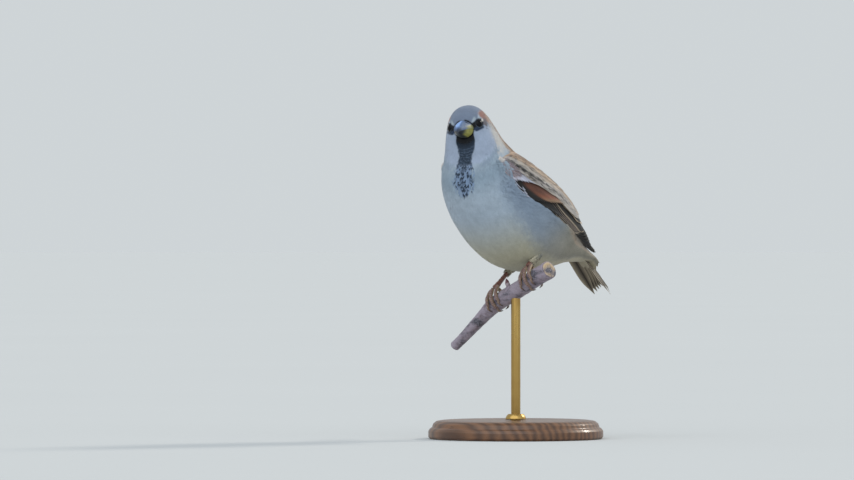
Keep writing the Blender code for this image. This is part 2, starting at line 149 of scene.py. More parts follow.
# Plumage colours.
CROWN_GREY = ink(111, 123, 143)
CHEEK_PALE = ink(155, 168, 189)
NECK_CREAM_AND_RIM_LIGHT = ink(188, 186, 184)
BREAST_GREY = ink(156, 170, 184)
BREAST_SHADE = ink(124, 142, 158)
BELLY_PALE = ink(168, 164, 142)
VENT_BUFF = ink(168, 160, 138)
VENT_SHADE = ink(116, 112, 98)
THIGH_CREAM = ink(204, 196, 174)
FLANK_GREY_AND_SHADE = ink(122, 138, 158)
FLANK_DULL = ink(124, 124, 120)
BIB_BLACK = ink(16, 19, 24)
BIB_SLATE = ink(29, 42, 58)
BIB_FRINGE = ink(80, 98, 120)
BIB_GROUND = ink(112, 134, 166)
LORE_BLACK = ink(12, 14, 17)
SLATE = ink(36, 52, 76)
BROW_PALE = ink(160, 173, 182)
EYE_STRIPE = ink(84, 74, 76)
SPOT_WHITE = ink(200, 194, 190)
CHESTNUT = ink(138, 92, 78)
NAPE_BUFF = ink(176, 162, 146)
MANTLE_BROWN = ink(156, 126, 102)
STREAK_BLACK = ink(38, 33, 32)
RUMP_GREY = ink(126, 118, 106)
SCAPULAR_PALE = ink(146, 141, 140)
SCAPULAR_TAN = ink(174, 148, 122)
NAPE_BROWN = ink(138, 112, 96)
WING_DARK = ink(22, 19, 18)
WING_CHESTNUT = ink(150, 88, 62)
WING_OCHRE = ink(150, 126, 98)
EDGE_BUFF = ink(182, 170, 148)
BAR_WHITE = ink(176, 180, 196)
LESSER_PINK = ink(146, 124, 122)
TAIL_BROWN = ink(66, 56, 50)
# Colours of the horny parts, the legs, the eyes and the branch.
HORN_BLUE, HORN_PAINTED_HIGHLIGHT, HORN_GREY = ink(82, 106, 146), ink(150, 184, 236), ink(108, 116, 124)
HORN_DARK_AND_SHADE, HORN_OLIVE, NOSTRIL = ink(30, 34, 40), ink(156, 152, 80), ink(16, 16, 20)
LOWER_HORN, GAPE_PAINTED_HIGHLIGHT = ink(66, 70, 68), ink(190, 180, 168)
LEG_BROWN, TOE_OCHRE = ink(122, 82, 72), ink(150, 128, 98)
TOE_MAUVE, SCUTE_DARK = ink(122, 96, 94), ink(72, 52, 52)
CLAW_ROOT, CLAW_TIP = ink(116, 94, 78), ink(48, 40, 40)
PUPIL, IRIS, LID, LID_LOW = ink(5, 7, 11), ink(12, 13, 18), ink(34, 42, 52), ink(92, 104, 114)
BARK, BARK_HOLLOW_SHADE = ink(146, 134, 146), ink(110, 96, 104)
BARK_BLOTCH, BARK_FLECK = ink(70, 67, 76), ink(168, 166, 180)
CUT_WOOD = np.array([ink(188, 164, 128), ink(168, 142, 106), ink(192, 170, 134), ink(150, 122, 90)])
PITH, BUD, BUD_TIP = ink(90, 66, 48), ink(160, 146, 150), ink(84, 34, 34)


# ---------------------------------------------------------------- shape of the body

def spline(rows, where):
    """Rows of a table read at fractional row numbers, along a Catmull-Rom curve."""
    rows = np.asarray(rows, float)
    last = len(rows) - 1
    where = np.clip(np.asarray(where, float), 0, last)
    row = np.minimum(where.astype(int), last - 1)
    t = (where - row)[..., None]
    before, start, end, after = (rows[np.clip(row + k, 0, last)] for k in (-1, 0, 1, 2))
    return 0.5 * (
        2 * start
        + (end - before) * t
        + (2 * before - 5 * start + 4 * end - after) * t**2
        + (3 * start - before - 3 * end + after) * t**3
    )


def smooth(low, high, value):
    """0 below low, 1 above high, and an S curve between."""
    t = np.clip((np.asarray(value, float) - low) / (high - low), 0, 1)
    return t * t * (3 - 2 * t)


def rounded(value, power):
    return np.sign(value) * np.abs(value) ** (2 / power)


def unit(vectors):
    return vectors / np.maximum(np.linalg.norm(vectors, axis=-1, keepdims=True), 1e-9)


def along_table(values, share):
    """A row of numbers read at shares of its length, along a Catmull-Rom curve."""
    values = np.array(values, float)[:, None]
    return spline(values, share * (len(values) - 1))[..., 0]


def turn_head(points, share):
    """Leans and turns points of the unturned bird about the head's pivot."""
    x, y, z = np.moveaxis(points - HEAD_PIVOT, -1, 0)
    roll, yaw = HEAD_ROLL * share, HEAD_YAW * share
    x, z = x * np.cos(roll) - z * np.sin(roll), x * np.sin(roll) + z * np.cos(roll)
    x, y = x * np.cos(yaw) - y * np.sin(yaw), x * np.sin(yaw) + y * np.cos(yaw)
    return np.stack([x, y, z], axis=-1) + HEAD_PIVOT


def body(s, theta):
    """A point of the plumage's outline: a squared-off ellipse across each section, whose middle, width
    and height are read from the table at s. theta is 0 on the back and pi on the belly."""
    s, theta = np.broadcast_arrays(np.asarray(s, float), np.asarray(theta, float))
    back_y, back_z, belly_y, belly_z, half, level = np.moveaxis(spline(SECTIONS, s), -1, 0)
    up = rounded(np.cos(theta), SQUARENESS)
    reach = np.where(up > 0, level + (1 - level) * up, level + level * up)
    x = half * rounded(np.sin(theta), SQUARENESS)
    y = belly_y + (back_y - belly_y) * reach
    z = belly_z + (back_z - belly_z) * reach
    share = 1 - smooth(CHEEKS, BREAST, s)
    return turn_head(np.stack([x, y, z], axis=-1), share) + BELLY_POINT


TAIL_COURSE = unit(TAIL_TIP - np.array([0.0, SECTIONS[-1][0], (SECTIONS[-1][1] + SECTIONS[-1][3]) / 2]))


def coat(s, theta, height):
    """The body's outline raised by a height along its normal. It goes straight on past its front end,
    and along the tail past its hind end."""
    s, theta, height = np.broadcast_arrays(s, theta, height)
    inside = np.clip(s, 0, COVERTS_END)
    low, high = np.maximum(inside - 0.03, 0), np.minimum(inside + 0.03, COVERTS_END)
    along = (body(high, theta) - body(low, theta)) / (high - low)[..., None]
    around = body(inside, theta + 0.02) - body(inside, theta - 0.02)
    normal = unit(np.cross(around, along))
    onward = np.where((s > inside)[..., None], TAIL_COURSE * np.linalg.norm(along, axis=-1)[..., None], along)
    return body(inside, theta) + (s - inside)[..., None] * onward + height[..., None] * normal


def wing_height(row, share):
    """How far the folded wing stands off the body: thickest in its middle, thin at its edges."""
    thick = spline(WING_ROWS, row)[..., 3]
    crown = 1 - np.abs(2 * np.clip(share, 0, 1) - 1) ** 3
    beyond = smooth(0.0, 0.35, np.maximum(-share, share - 1))
    return (GAP + WING_EDGE + np.maximum(thick - WING_EDGE, 0.1) * crown) * (1 - 0.55 * beyond)


def wing(side):
    """The folded wing's own surface: row along it, share of the way down it, and millimetres over it."""

    def surface(row, share, height):
        row, share, height = np.broadcast_arrays(row, share, height)
        s, top, low, _ = np.moveaxis(spline(WING_ROWS, row), -1, 0)
        theta = side * np.radians(top + (low - top) * share)
        return coat(s, theta, wing_height(row, share) + height)

    return surface


def wing_share(s, degrees):
    """Row and share of the wing at a place of the body; the share is outside 0 to 1 off the wing."""
    sections, top, low, _ = np.array(WING_ROWS, float).T
    row = np.interp(s, sections, np.arange(len(sections)), left=-1, right=len(sections))
    upper, lower = np.interp(s, sections, top), np.interp(s, sections, low)
    return row, (np.abs(degrees) - upper) / (lower - upper)


# ---------------------------------------------------------------- meshes

def volume(points, face_sets):
    """Six times the volume that faces enclose, positive where they point outwards."""
    total, middle = 0.0, points.mean(0)
    for faces in face_sets:
        corner = points[faces] - middle
        for k in range(1, faces.shape[1] - 1):
            total += np.einsum("ij,ij->", corner[:, 0], np.cross(corner[:, k], corner[:, k + 1]))
    return total


def put_mesh(name, points, face_sets, finish, slot, paint=None, maps=None, sharp=None, lie=None, soft=0.0):
    """A piece from points in millimetres and arrays of faces, turned outwards by its signed volume. Where
    the lie is given, the surface's normal at each point, the shading leans to it by the soft share."""
    if volume(points, face_sets) < 0:
        face_sets = [faces[:, ::-1] for faces in face_sets]
    corners = np.concatenate([faces.ravel() for faces in face_sets])
    sizes = np.concatenate([np.full(len(faces), faces.shape[1]) for faces in face_sets])
    starts = np.concatenate([[0], np.cumsum(sizes)[:-1]])
    mesh = bpy.data.meshes.new(name)
    mesh.vertices.add(len(points))
    mesh.vertices.foreach_set("co", (points * MM).astype(np.float32).ravel())
    mesh.loops.add(len(corners))
    mesh.loops.foreach_set("vertex_index", corners.astype(np.int32))
    mesh.polygons.add(len(sizes))
    mesh.polygons.foreach_set("loop_start", starts.astype(np.int32))
    mesh.update(calc_edges=True)
    for label, places in (maps or {}).items():
        spots = places[corners]
        if label == "OFBake" and len(face_sets) > 1:
            # A face that crosses the unwrap's seam keeps to one side of it.
            first = np.repeat(spots[starts, 0], sizes)
            spots[:, 0] += 0.98 * ((first > 0.7) & (spots[:, 0] < 0.3))
            spots[:, 0] -= 0.98 * ((first < 0.3) & (spots[:, 0] > 0.7))
            spots = np.clip(spots, 0, 1)
        layer = mesh.uv_layers.new(name=label)
        layer.uv.foreach_set("vector", spots.astype(np.float32).ravel())
    if paint is not None:
        colours = mesh.attributes.new("paint", "FLOAT_COLOR", "POINT")
        full = np.concatenate([np.clip(paint, 0, 1), np.ones((len(paint), 1))], axis=1)
        colours.data.foreach_set("color", full.astype(np.float32).ravel())
    mesh.shade_smooth()
    if sharp:
        mesh.set_sharp_from_angle(angle=math.radians(sharp))
    if lie is not None and soft > 0:
        own = np.empty(len(corners) * 3, np.float32)
        mesh.corner_normals.foreach_get("vector", own)
        own = own.reshape(-1, 3)
        under = lie[corners]
        facing = np.sign(np.einsum("ci,ci->c", own, under))[:, None]
        mesh.normals_split_custom_set(unit(own * (1 - soft) + under * facing * soft).astype(np.float32))
    piece = bpy.data.objects.new(name, mesh)
    bpy.context.scene.collection.objects.link(piece)
    mesh.materials.append(finish)
    if slot:
        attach(piece, "root")
    return piece


def grid_faces(rows, columns, looped=False):
    """Quads over a grid of points, closed round its columns, and from its last row to its first if asked."""
    r, c = np.meshgrid(np.arange(rows if looped else rows - 1), np.arange(columns), indexing="ij")
    after, over = (c + 1) % columns, (r + 1) % rows
    quads = [r * columns + c, r * columns + after, over * columns + after, over * columns + c]
    return np.stack(quads, axis=-1).reshape(-1, 4)


def capped(rings):
    """Points and faces of a closed solid through rings: quads between them and a fan at each end."""
    count, sides = rings.shape[:2]
    points = np.concatenate([rings.reshape(-1, 3), rings[:1].mean(1), rings[-1:].mean(1)])
    k = np.arange(sides)
    after, base = (k + 1) % sides, (count - 1) * sides
    first = np.stack([np.full(sides, count * sides), after, k], axis=-1)
    last = np.stack([np.full(sides, count * sides + 1), base + k, base + after], axis=-1)
    return points, [grid_faces(count, sides), first, last]


def drawn_in(ring, shares):
    """Copies of a ring shrunk about its middle to each of the shares."""
    middle = ring.mean(0)
    return middle + (ring - middle) * np.array(shares)[:, None, None]


def round_path(path, side, up, reach, angles):
    """Rings round a path: at each angle, its reach from the path between the side and the up direction."""
    rim = side[:, None] * np.cos(angles)[:, None] + up[:, None] * np.sin(angles)[:, None]
    return path[:, None] + rim * reach[..., None]


def turns(count):
    return np.arange(count) * 2 * math.pi / count


def tube_rings(path, radii, reference, sides, relief):
    """Rings round a path, each point at its radius, changed by a relief of (length share, angle). Angle
    0 points to the side, and a quarter turn nearest to the reference."""
    ahead = unit(np.gradient(path, axis=0))
    side = unit(np.cross(ahead, np.asarray(reference, float)))
    angles = turns(sides)
    share = np.linspace(0, 1, len(path))[:, None]
    reach = np.asarray(radii)[:, None] * (1 + relief(share, angles))
    return round_path(path, side, np.cross(side, ahead), reach, angles)


def joined(solids):
    """Points and faces of several closed solids as one: their numbers follow on."""
    points, face_sets, start = [], [], 0
    for solid, faces in solids:
        points.append(solid)
        face_sets += [f + start for f in faces]
        start += len(solid)
    return np.concatenate(points), face_sets


# ---------------------------------------------------------------- finishes

def principled(name, roughness, metallic=0.0, coat_weight=0.0, sheen=0.0, specular=0.5):
    made = bpy.data.materials.new(name)
    made.use_nodes = True
    shader = made.node_tree.nodes["Principled BSDF"]
    for label, value in (
        ("Roughness", roughness), ("Metallic", metallic), ("Coat Weight", coat_weight),
        ("Coat Roughness", 0.05), ("Sheen Weight", sheen), ("Sheen Roughness", 0.6),
        ("Specular IOR Level", specular),
    ):
        shader.inputs[label].default_value = value
    return made, made.node_tree, shader


def add_node(tree, kind, inputs=None, **settings):
    made = tree.nodes.new(kind)
    for key, value in settings.items():
        setattr(made, key, value)
    for key, value in (inputs or {}).items():
        if isinstance(value, bpy.types.NodeSocket):
            tree.links.new(value, made.inputs[key])
        else:
            made.inputs[key].default_value = value
    return made


def maths(tree, operation, first, second=0.0):
    return add_node(tree, "ShaderNodeMath", {0: first, 1: second}, operation=operation).outputs[0]


def summed(tree, *terms):
    """The sum of values, each times its factor."""
    parts = [maths(tree, "MULTIPLY", value, factor) for value, factor in terms]
    total = parts[0]
    for part in parts[1:]:
        total = maths(tree, "ADD", total, part)
    return total


def spread(tree, value, low, high, first=0.0, last=1.0):
    """A value's range from low to high carried over to the range from first to last."""
    inputs = {"Value": value, 1: low, 2: high, 3: first, 4: last}
    return add_node(tree, "ShaderNodeMapRange", inputs).outputs[0]


def place_on(tree, scale=(1.0, 1.0, 1.0), place=None):
    """The place on the piece, or in the map given, stretched by a scale."""
    place = place or add_node(tree, "ShaderNodeTexCoord").outputs["Object"]
    return add_node(tree, "ShaderNodeMapping", {"Vector": place, "Scale": scale}).outputs[0]


def painted(tree):
    return add_node(tree, "ShaderNodeAttribute", attribute_name="paint").outputs["Color"]


def toned(tree, shader, level):
    """Gives the shader the paint times a level."""
    grey = add_node(tree, "ShaderNodeCombineXYZ", {0: level, 1: level, 2: level}).outputs[0]
    varied = add_node(tree, "ShaderNodeVectorMath", {0: painted(tree), 1: grey}, operation="MULTIPLY")
    tree.links.new(varied.outputs[0], shader.inputs["Base Color"])


def blended(tree, factor, first, second):
    """Two colours mixed by a factor, each a socket or a colour."""
    inputs = {0: factor}
    for key, value in ((6, first), (7, second)):
        inputs[key] = value if isinstance(value, bpy.types.NodeSocket) else (*value, 1.0)
    return add_node(tree, "ShaderNodeMix", inputs, data_type="RGBA").outputs[2]


def noise(tree, scale, detail=3.0, place=None):
    inputs = {"Vector": place or place_on(tree), "Scale": scale, "Detail": detail}
    return add_node(tree, "ShaderNodeTexNoise", inputs).outputs["Fac"]


def bumped(tree, shader, height, distance, strength=1.0):
    bump = add_node(tree, "ShaderNodeBump", {"Height": height, "Distance": distance, "Strength": strength})
    tree.links.new(bump.outputs["Normal"], shader.inputs["Normal"])


def feather_finish(name, roughness, sheen, barb=0.16, depth=0.00003, mottle=0.12):
    """Painted vanes. Fibres run along the vane in its own map, which counts millimetres across and
    along; barbs slant off the shaft, and two scales of noise vary the colour from tuft to tuft."""
    made, tree, shader = principled(name, roughness, sheen=sheen, specular=0.2)
    place = add_node(tree, "ShaderNodeUVMap", uv_map="vane").outputs["UV"]
    split = add_node(tree, "ShaderNodeSeparateXYZ", {0: place})
    slant = maths(tree, "MULTIPLY", maths(tree, "ABSOLUTE", split.outputs[0]), 1.6)
    phase = maths(tree, "MULTIPLY", maths(tree, "SUBTRACT", split.outputs[1], slant), 2 * math.pi / barb)
    barbs = maths(tree, "SINE", phase)
    fibres = noise(tree, 1.0, 3.0, place_on(tree, (9.0, 0.9, 1.0), place))
    wide, fine = noise(tree, 240.0, 2.0), noise(tree, 1300.0, 3.0)
    shade = summed(tree, (wide, 0.4), (fine, 0.25), (fibres, 0.35), (barbs, 0.02))
    toned(tree, shader, spread(tree, shade, 0.35, 0.65, 1 - mottle, 1 + mottle))
    bumped(tree, shader, summed(tree, (barbs, 0.3), (fibres, 1.0)), depth, 0.5)
    return made


def painted_finish(name, roughness, scale, depth, coat_weight=0.0, mottle=0.15, specular=0.5):
    """The paint attribute varied by noise, with a fine bump."""
    made, tree, shader = principled(name, roughness, coat_weight=coat_weight, specular=specular)
    grain = noise(tree, scale, 4.0)
    toned(tree, shader, spread(tree, grain, 0.3, 0.7, 1 - mottle, 1 + mottle))
    bumped(tree, shader, grain, depth)
    return made


# ---------------------------------------------------------------- vanes

PATCH = 0.003  # side of one vane's patch in the bake map
TIP_TEETH = 0.035
VANE_ROWS, VANE_COLUMNS = 5, np.linspace(-1, 1, 5)


def outline(v, blunt=0.16):
    """Half width of a body feather along it: quickly wide, then rounding off to a blunt tip."""
    rise = 0.45 + 0.55 * smooth(0.0, 0.4, v)
    fall = np.sqrt(np.clip(1 - (1 - blunt) * np.clip((v - 0.55) / 0.45, 0, 1) ** 2.2, 0, 1))
    return rise * fall


def flight_outline(v, taper=0.55):
    """Half width of a flight feather: nearly parallel, with a rounded tip."""
    rise = 0.35 + 0.65 * smooth(0.0, 0.3, v)
    fall = np.sqrt(np.clip(1 - 0.93 * np.clip((v - taper) / (1 - taper), 0, 1) ** 2.6, 0, 1))
    return rise * fall


def steps_along(direction, by_a, by_b):
    """How far the surface's two parameters go for a millimetre in a direction along it."""
    aa, ab, bb, xa, xb = (
        np.einsum("...i,...i->...", first, second)
        for first, second in (
            (by_a, by_a), (by_a, by_b), (by_b, by_b), (direction, by_a), (direction, by_b),
        )
    )
    det = np.maximum(aa * bb - ab * ab, 1e-6)
    return (xa * bb - xb * ab) / det, (xb * aa - xa * ab) / det


def lay_vanes(
    surface, centre_a, centre_b, half, heights, v, columns, thick, camber, shape, teeth, lean=0.0, tilt=0.0
):
    """Vanes on a surface. Each has a centre line of (a, b) points on it, one per row. A row's points run
    across the line by half width times the outline, at right angles to it on the surface, and stand at
    the row's height less the camber towards the edges, and plus the tilt towards the upper one. One more
    point closes the vane from below.
    Returns points of (vane, row, point), and for each its place on the surface and in the vane."""
    step = 0.01
    here = surface(centre_a, centre_b, 0.0)
    by_a = (surface(centre_a + step, centre_b, 0.0) - here) / step
    by_b = (surface(centre_a, centre_b + step, 0.0) - here) / step
    normal = unit(np.cross(by_b, by_a))
    along = unit(np.gradient(here, axis=1))
    across = unit(np.cross(normal, along))
    (da, db), (la, lb) = steps_along(across, by_a, by_b), steps_along(along, by_a, by_b)
    u, bottom = np.append(columns, 0.0), np.append(np.zeros(len(columns)), 1.0)
    wide = half[:, None, None] * shape(v)[None, :, None]
    x = wide * (u + lean * (1 - u * u)) * (1 - bottom)
    ragged = teeth * (np.arange(len(u)) % 2) * (1 - bottom)
    back = -(0.3 * u * u * smooth(0.5, 1.0, v)[:, None] + ragged * smooth(0.8, 1.0, v)[:, None])
    length = np.linalg.norm(np.diff(here, axis=1), axis=-1).sum(1)[:, None, None]
    y = back[None] * np.minimum(length, 4.0 * half[:, None, None])
    a = centre_a[..., None] + x * da[..., None] + y * la[..., None]
    b = centre_b[..., None] + x * db[..., None] + y * lb[..., None]
    bend = (tilt * u - camber * u * u) * half[:, None, None]
    height = heights[..., None] + bend - bottom * thick
    points = surface(a, b, height)
    shown_u = np.broadcast_to(u, points.shape[:3])
    shown_v = np.broadcast_to(v[None, :, None], points.shape[:3])
    travelled = np.broadcast_to(length * v[None, :, None], points.shape[:3])
    lie = np.broadcast_to(normal[:, :, None], points.shape)
    return points, a, b, shown_u, shown_v, np.stack([x + 0 * a, travelled], axis=-1), lie


def vane_faces(vanes, rows, around):
    """Faces of closed vanes: quads between the loops of neighbouring rows and across both ends."""
    one = [grid_faces(rows, around)]
    k = np.arange(0, around - 2, 2)
    for row, turned in ((0, False), (rows - 1, True)):
        end = np.stack([k, k + 1, k + 2, np.full(len(k), around - 1)], axis=-1) + row * around
        one.append(end if turned else end[:, ::-1])
    one = np.concatenate(one)
    return (one[None] + (np.arange(vanes) * rows * around)[:, None, None]).reshape(-1, 4)


def put_vanes(name, laid, roots, paint, finish, slot, soft=0.0):
    """A coat piece from laid vanes, its roots' places on the unwrapped skin, and its paint."""
    points, _, _, u, v, travelled, lie = laid
    vanes, rows, around = points.shape[:3]
    patch = np.stack([u, 2 * v - 1], axis=-1) * PATCH / 2 + roots[:, None, None, :]
    return put_mesh(
        name,
        points.reshape(-1, 3),
        [vane_faces(vanes, rows, around)],
        finish,
        slot,
        paint.reshape(-1, 3),
        {"OFBake": np.clip(patch, 0, 1).reshape(-1, 2), "vane": travelled.reshape(-1, 2)},
        sharp=75,
        lie=lie.reshape(-1, 3),
        soft=soft,
    )


def unwrap(s, theta):
    """A place on the skin's own unwrap: round the body, and along it."""
    return np.stack([0.01 + 0.98 * ((theta / (2 * math.pi)) % 1.0), (s + 1.5) / 20.5], axis=-1)


def scattered(count):
    """Evenly scattered points in a unit cube: multiples of the three-dimensional golden ratio."""
    ratio = 1.2207440846057596
    index = np.arange(1, count + 1)[:, None]
    return (0.5 + index * ratio ** -np.array([1.0, 2.0, 3.0])) % 1.0


def pairs(first, second):
    return np.stack(np.broadcast_arrays(first, second), axis=-1)


def varied(rng, count, span):
    """Chance factors round 1, up to a span less or more."""
    return 1 - span + 2 * span * rng.random(count)


# ---------------------------------------------------------------- markings

def mixed(colour, other, share):
    share = np.asarray(share, float)[..., None]
    return colour * (1 - share) + other * share


def layered(colour, *coats):
    """A colour under others laid over it in turn, each given with its share."""
    for other, share in coats:
        colour = mixed(colour, other, share)
    return colour


def window(value, low, high, soft):
    return smooth(low - soft, low + soft, value) * (1 - smooth(high - soft, high + soft, value))


def markings(s, degrees, u, v, chance):
    """The coat's colour at a section and an angle from the back's midline, with painted shade and a painted
    rim light in it, either side alike but for the bib, which the turned neck draws to one side. u and v are
    the place in the vane, and chance holds three numbers of each vane that fray the borders."""
    deg = np.abs(degrees)
    first, second, third = (chance[..., k] * 2 - 1 for k in range(3))
    ragged_s = s + 0.18 * first * smooth(0, 4, s)
    ragged = deg + (2.0 + 3.0 * window(s, 3.5, 9, 2.5)) * second
    # Breast, flank, belly and vent, with painted shade on the upper breast, the flanks, the vent's sides and
    # the crease under the cheek.
    flank = mixed(FLANK_GREY_AND_SHADE, FLANK_DULL, smooth(10.6, 12.6, s))
    colour = layered(
        BREAST_GREY,
        (BELLY_PALE, smooth(9.2, 11.8, s)),
        # Painted shade: the upper breast darker, below the head.
        (BREAST_SHADE, 0.8 * window(s, 5.8, 7.7, 0.9) * window(ragged, 98, 200, 16)),
        (VENT_BUFF, smooth(11.8, 14.2, s)),
        # Partly the flanks' own grey, partly painted shade: the flanks darker below the wing.
        (flank, 0.85 * window(ragged, 66, 118, 14) * smooth(6.8, 8.4, s)),
        # Painted shade: the vent's sides darker, under the wing tips.
        (VENT_SHADE, 0.8 * window(ragged, 50, 112, 12) * smooth(12.2, 13.6, s)),
        (CHEEK_PALE, window(ragged_s, 0.2, 5.1, 0.35) * smooth(78, 88, ragged)),
        # Painted shade: a darker band in the crease between the cheek and the breast.
        (FLANK_GREY_AND_SHADE, 0.6 * window(ragged_s, 5.05, 5.75, 0.25) * window(ragged, 84, 150, 10)),
    )
    # Back of the neck, mantle and rump.
    upper = smooth(-6, 6, np.interp(s, [0, 5, 6.5, 8, 12, 16], [70, 74, 68, 70, 66, 78]) - ragged)
    lined = smooth(-0.1, 0.4, np.sin(math.radians(360 / 13) * deg + 0.5 * first) + 0.35 * third)
    streak = (1 - smooth(0.3, 0.6, np.abs(u))) * smooth(0.2, 0.45, v) * lined
    colour = layered(
        colour,
        (mixed(NAPE_BUFF, NAPE_BROWN, 1 - smooth(46, 72, ragged)), upper * smooth(4.4, 5.6, ragged_s)),
        (MANTLE_BROWN, upper * smooth(5.8, 6.8, ragged_s)),
        (RUMP_GREY, upper * smooth(11.0, 12.5, ragged_s)),
        (STREAK_BLACK, upper * streak * window(s, 6.3, 11.4, 0.5)),
    )
    # Crown, the chestnut band from the eye down the nape's side, and the cream side of the neck, made paler
    # by a painted warm rim light along its edge.
    crown = smooth(-4, 4, np.interp(s, [0, 1.5, 2.3, 4, 5.5], [84, 74, 52, 42, 34]) - ragged)
    band_top = np.interp(s, [2.0, 2.6, 4, 6], [58, 50, 38, 34])
    band_low = np.interp(s, [2.0, 2.6, 3.4, 4.6, 6], [68, 74, 78, 74, 64])
    band = smooth(-4, 4, ragged - band_top) * smooth(-4, 4, band_low - ragged)
    band = band * smooth(1.9, 2.3, ragged_s) * (1 - smooth(5.0, 6.4, ragged_s))
    mottle = window(ragged_s, 2.9, 4.3, 0.2) * window(ragged, 62, 84, 4) * smooth(0.1, 0.4, third)
    colour = layered(
        colour,
        (CROWN_GREY, crown * (1 - smooth(4.6, 5.6, ragged_s))),
        (CHESTNUT, band * 0.92),
        (NAPE_BUFF, 0.75 * smooth(0.6, 0.9, v) * band * smooth(2.9, 3.7, s)),
        # Partly the neck's own pale side, partly a painted highlight of the warm rim light on its edge.
        (NECK_CREAM_AND_RIM_LIGHT, window(ragged_s, 3.8, 6.1, 0.5) * window(ragged + 4 * first, 66, 92, 8)),
        (EYE_STRIPE, 0.7 * mottle * (1 - smooth(0.7, 0.9, v))),
    )
    # Face: pale brow, black lores and rim of the bill, a dark stripe and a slate wedge behind them.
    brow = window(s, 0.4, 1.35, 0.2) * window(deg, 57, np.interp(s, [0.4, 1.0, 1.6], [65, 72, 68]), 4)
    line_top = np.interp(s, [0.0, 0.4, 0.9, 1.3, 1.75, 2.2, 2.7], [54, 67, 72, 71, 72, 76, 86])
    lores = window(s, -3, 2.6, 0.2) * smooth(-2.5, 2.5, deg - line_top) * (1 - smooth(94, 99, deg))
    slate_places = [0.0, 0.3, 0.93, 1.4, 1.8, 2.15, 2.6, 2.95]
    slate_low = np.interp(s, slate_places, [97, 102, 109, 109, 106, 103, 97, 89])
    spot = np.hypot((s - 2.45) / 0.16, (deg - 79) / 3.8)
    colour = layered(
        colour,
        (BROW_PALE, 0.8 * brow),
        (EYE_STRIPE, 0.85 * window(ragged_s, 1.9, 3.3, 0.25) * window(ragged, 74, 91, 3)),
        (LORE_BLACK, np.maximum(lores, window(s, -3, 0.16, 0.1) * smooth(8, 16, deg))),
        (SLATE, window(s, 0.0, 2.85, 0.15) * smooth(-2.5, 2.5, slate_low - deg) * smooth(90, 96, deg)),
        (SPOT_WHITE, 1 - smooth(0.7, 1.25, spot)),
    )
    # Bib: black chin, slate throat with broken pale bars, then dark spots on blue-grey.
    middle = np.interp(s, [2.4, 3.2, 4.4, 6.3, 7.3, 8.5], [180, 183, 188, 179, 171, 168])
    from_middle = np.abs((degrees - middle + 180) % 360 - 180)
    from_middle = from_middle + (0.6 + 0.35 * s + 2.5 * smooth(4.6, 6, s)) * second
    places = [0.0, 0.7, 1.3, 1.65, 2.2, 3.0, 3.7, 4.4, 5.2, 6.3, 7.3, 7.9, 8.4]
    half = np.interp(s, places, [62, 51, 43, 38, 30, 21, 15.5, 14, 16, 18, 14, 5, -30])
    bib = smooth(-2.0, 2.0, half - from_middle)
    bars = smooth(0.1, 0.9, np.sin(2 * math.pi * s / 0.46 + 1.8 * first)) * window(s, 2.2, 4.8, 0.3)
    chosen = smooth(-0.15, 0.15, third + 0.45 - 0.3 * np.maximum(s - 5.0, 0))
    heart = (1 - smooth(0.84, 0.97, v)) * (1 - smooth(0.7, 1.0, np.abs(u)))
    return layered(
        colour,
        (BIB_BLACK, bib * (1 - smooth(1.6, 2.2, s))),
        (BIB_SLATE, bib * smooth(0.8, 1.6, s) * (1 - smooth(4.7, 5.2, s))),
        (BIB_FRINGE, 0.85 * bib * bars),
        (BIB_GROUND, 0.8 * bib * smooth(4.7, 5.2, s)),
        (BIB_SLATE, bib * smooth(4.6, 5.1, s) * chosen * heart),
    )


def coat_paint(laid, chance):
    """The markings on laid vanes, frayed by three chance numbers of each."""
    return markings(laid[1], np.degrees(laid[2]), laid[3], laid[4], chance[:, None, None])


def down_the_side(s, deg, sections, upper, lower):
    """A measure read along the body from two tables, one for the back and one for the belly."""
    share = smooth(60, 120, deg)
    return np.interp(s, sections, upper) * (1 - share) + np.interp(s, sections, lower) * share


def feather_length(s, deg):
    """Length of a body feather: shortest on the face, longest on the belly and flanks."""
    sections = [0, 1, 2, 3, 4, 5, 6, 8, 11, 14, 16]
    upper = [1.3, 1.6, 2.1, 2.7, 3.3, 4.0, 4.8, 5.6, 6.4, 6.2, 4.2]
    lower = [1.3, 1.6, 2.1, 2.7, 3.4, 4.4, 5.4, 6.6, 7.2, 6.8, 4.6]
    return down_the_side(s, deg, sections, upper, lower)


def coat_depth(s, deg):
    """How far the skin lies under the coat's outline: least on the face, most on the belly."""
    upper, lower = [0.5, 0.6, 0.8, 1.0, 1.1, 1.1, 1.0], [0.5, 0.6, 0.9, 1.2, 1.5, 1.3, 1.0]
    return down_the_side(s, deg, [0, 2, 5, 7, 11, 14, 16], upper, lower)


COAT_SOFTNESS = 0.6
# From an eye's axis in millimetres: the nearest root of a feather, and the wall of the coat's opening.
NEAREST_ROOT, EYE_OPENING = 1.75, 1.98
OFFERED_PLACES = 90000
EYES = []
for eye_side in (1, -1):
    place = coat(EYE_PLACE[0], eye_side * EYE_PLACE[1], 0.0)
    outward = coat(EYE_PLACE[0], eye_side * EYE_PLACE[1], 1.0) - place
    EYES.append((place - (EYE_RADIUS - EYE_PROUD) * outward, outward))


def far_from_eyes(points, reach):
    """How far points are outside a cylinder round each eye's axis, in millimetres."""
    distances = []
    for centre, axis in EYES:
        offset = points - centre
        forward = offset @ axis
        across = np.linalg.norm(offset - forward[..., None] * axis, axis=-1)
        distances.append(np.where(forward > -1, across - reach, 99.0))
    return np.minimum(*distances)


def clear_of_eyes(points, reach):
    """Points inside a cylinder round an eye's axis pushed out to its wall, in a thin band."""
    for centre, axis in EYES:
        offset = points - centre
        forward = (offset @ axis)[..., None]
        across = offset - forward * axis
        distance = np.linalg.norm(across, axis=-1, keepdims=True)
        pushed = reach - 0.12 + 0.12 * distance / reach
        inside = (distance < reach) & (forward > -1)
        points = np.where(inside, centre + forward * axis + unit(across) * pushed, points)
    return points


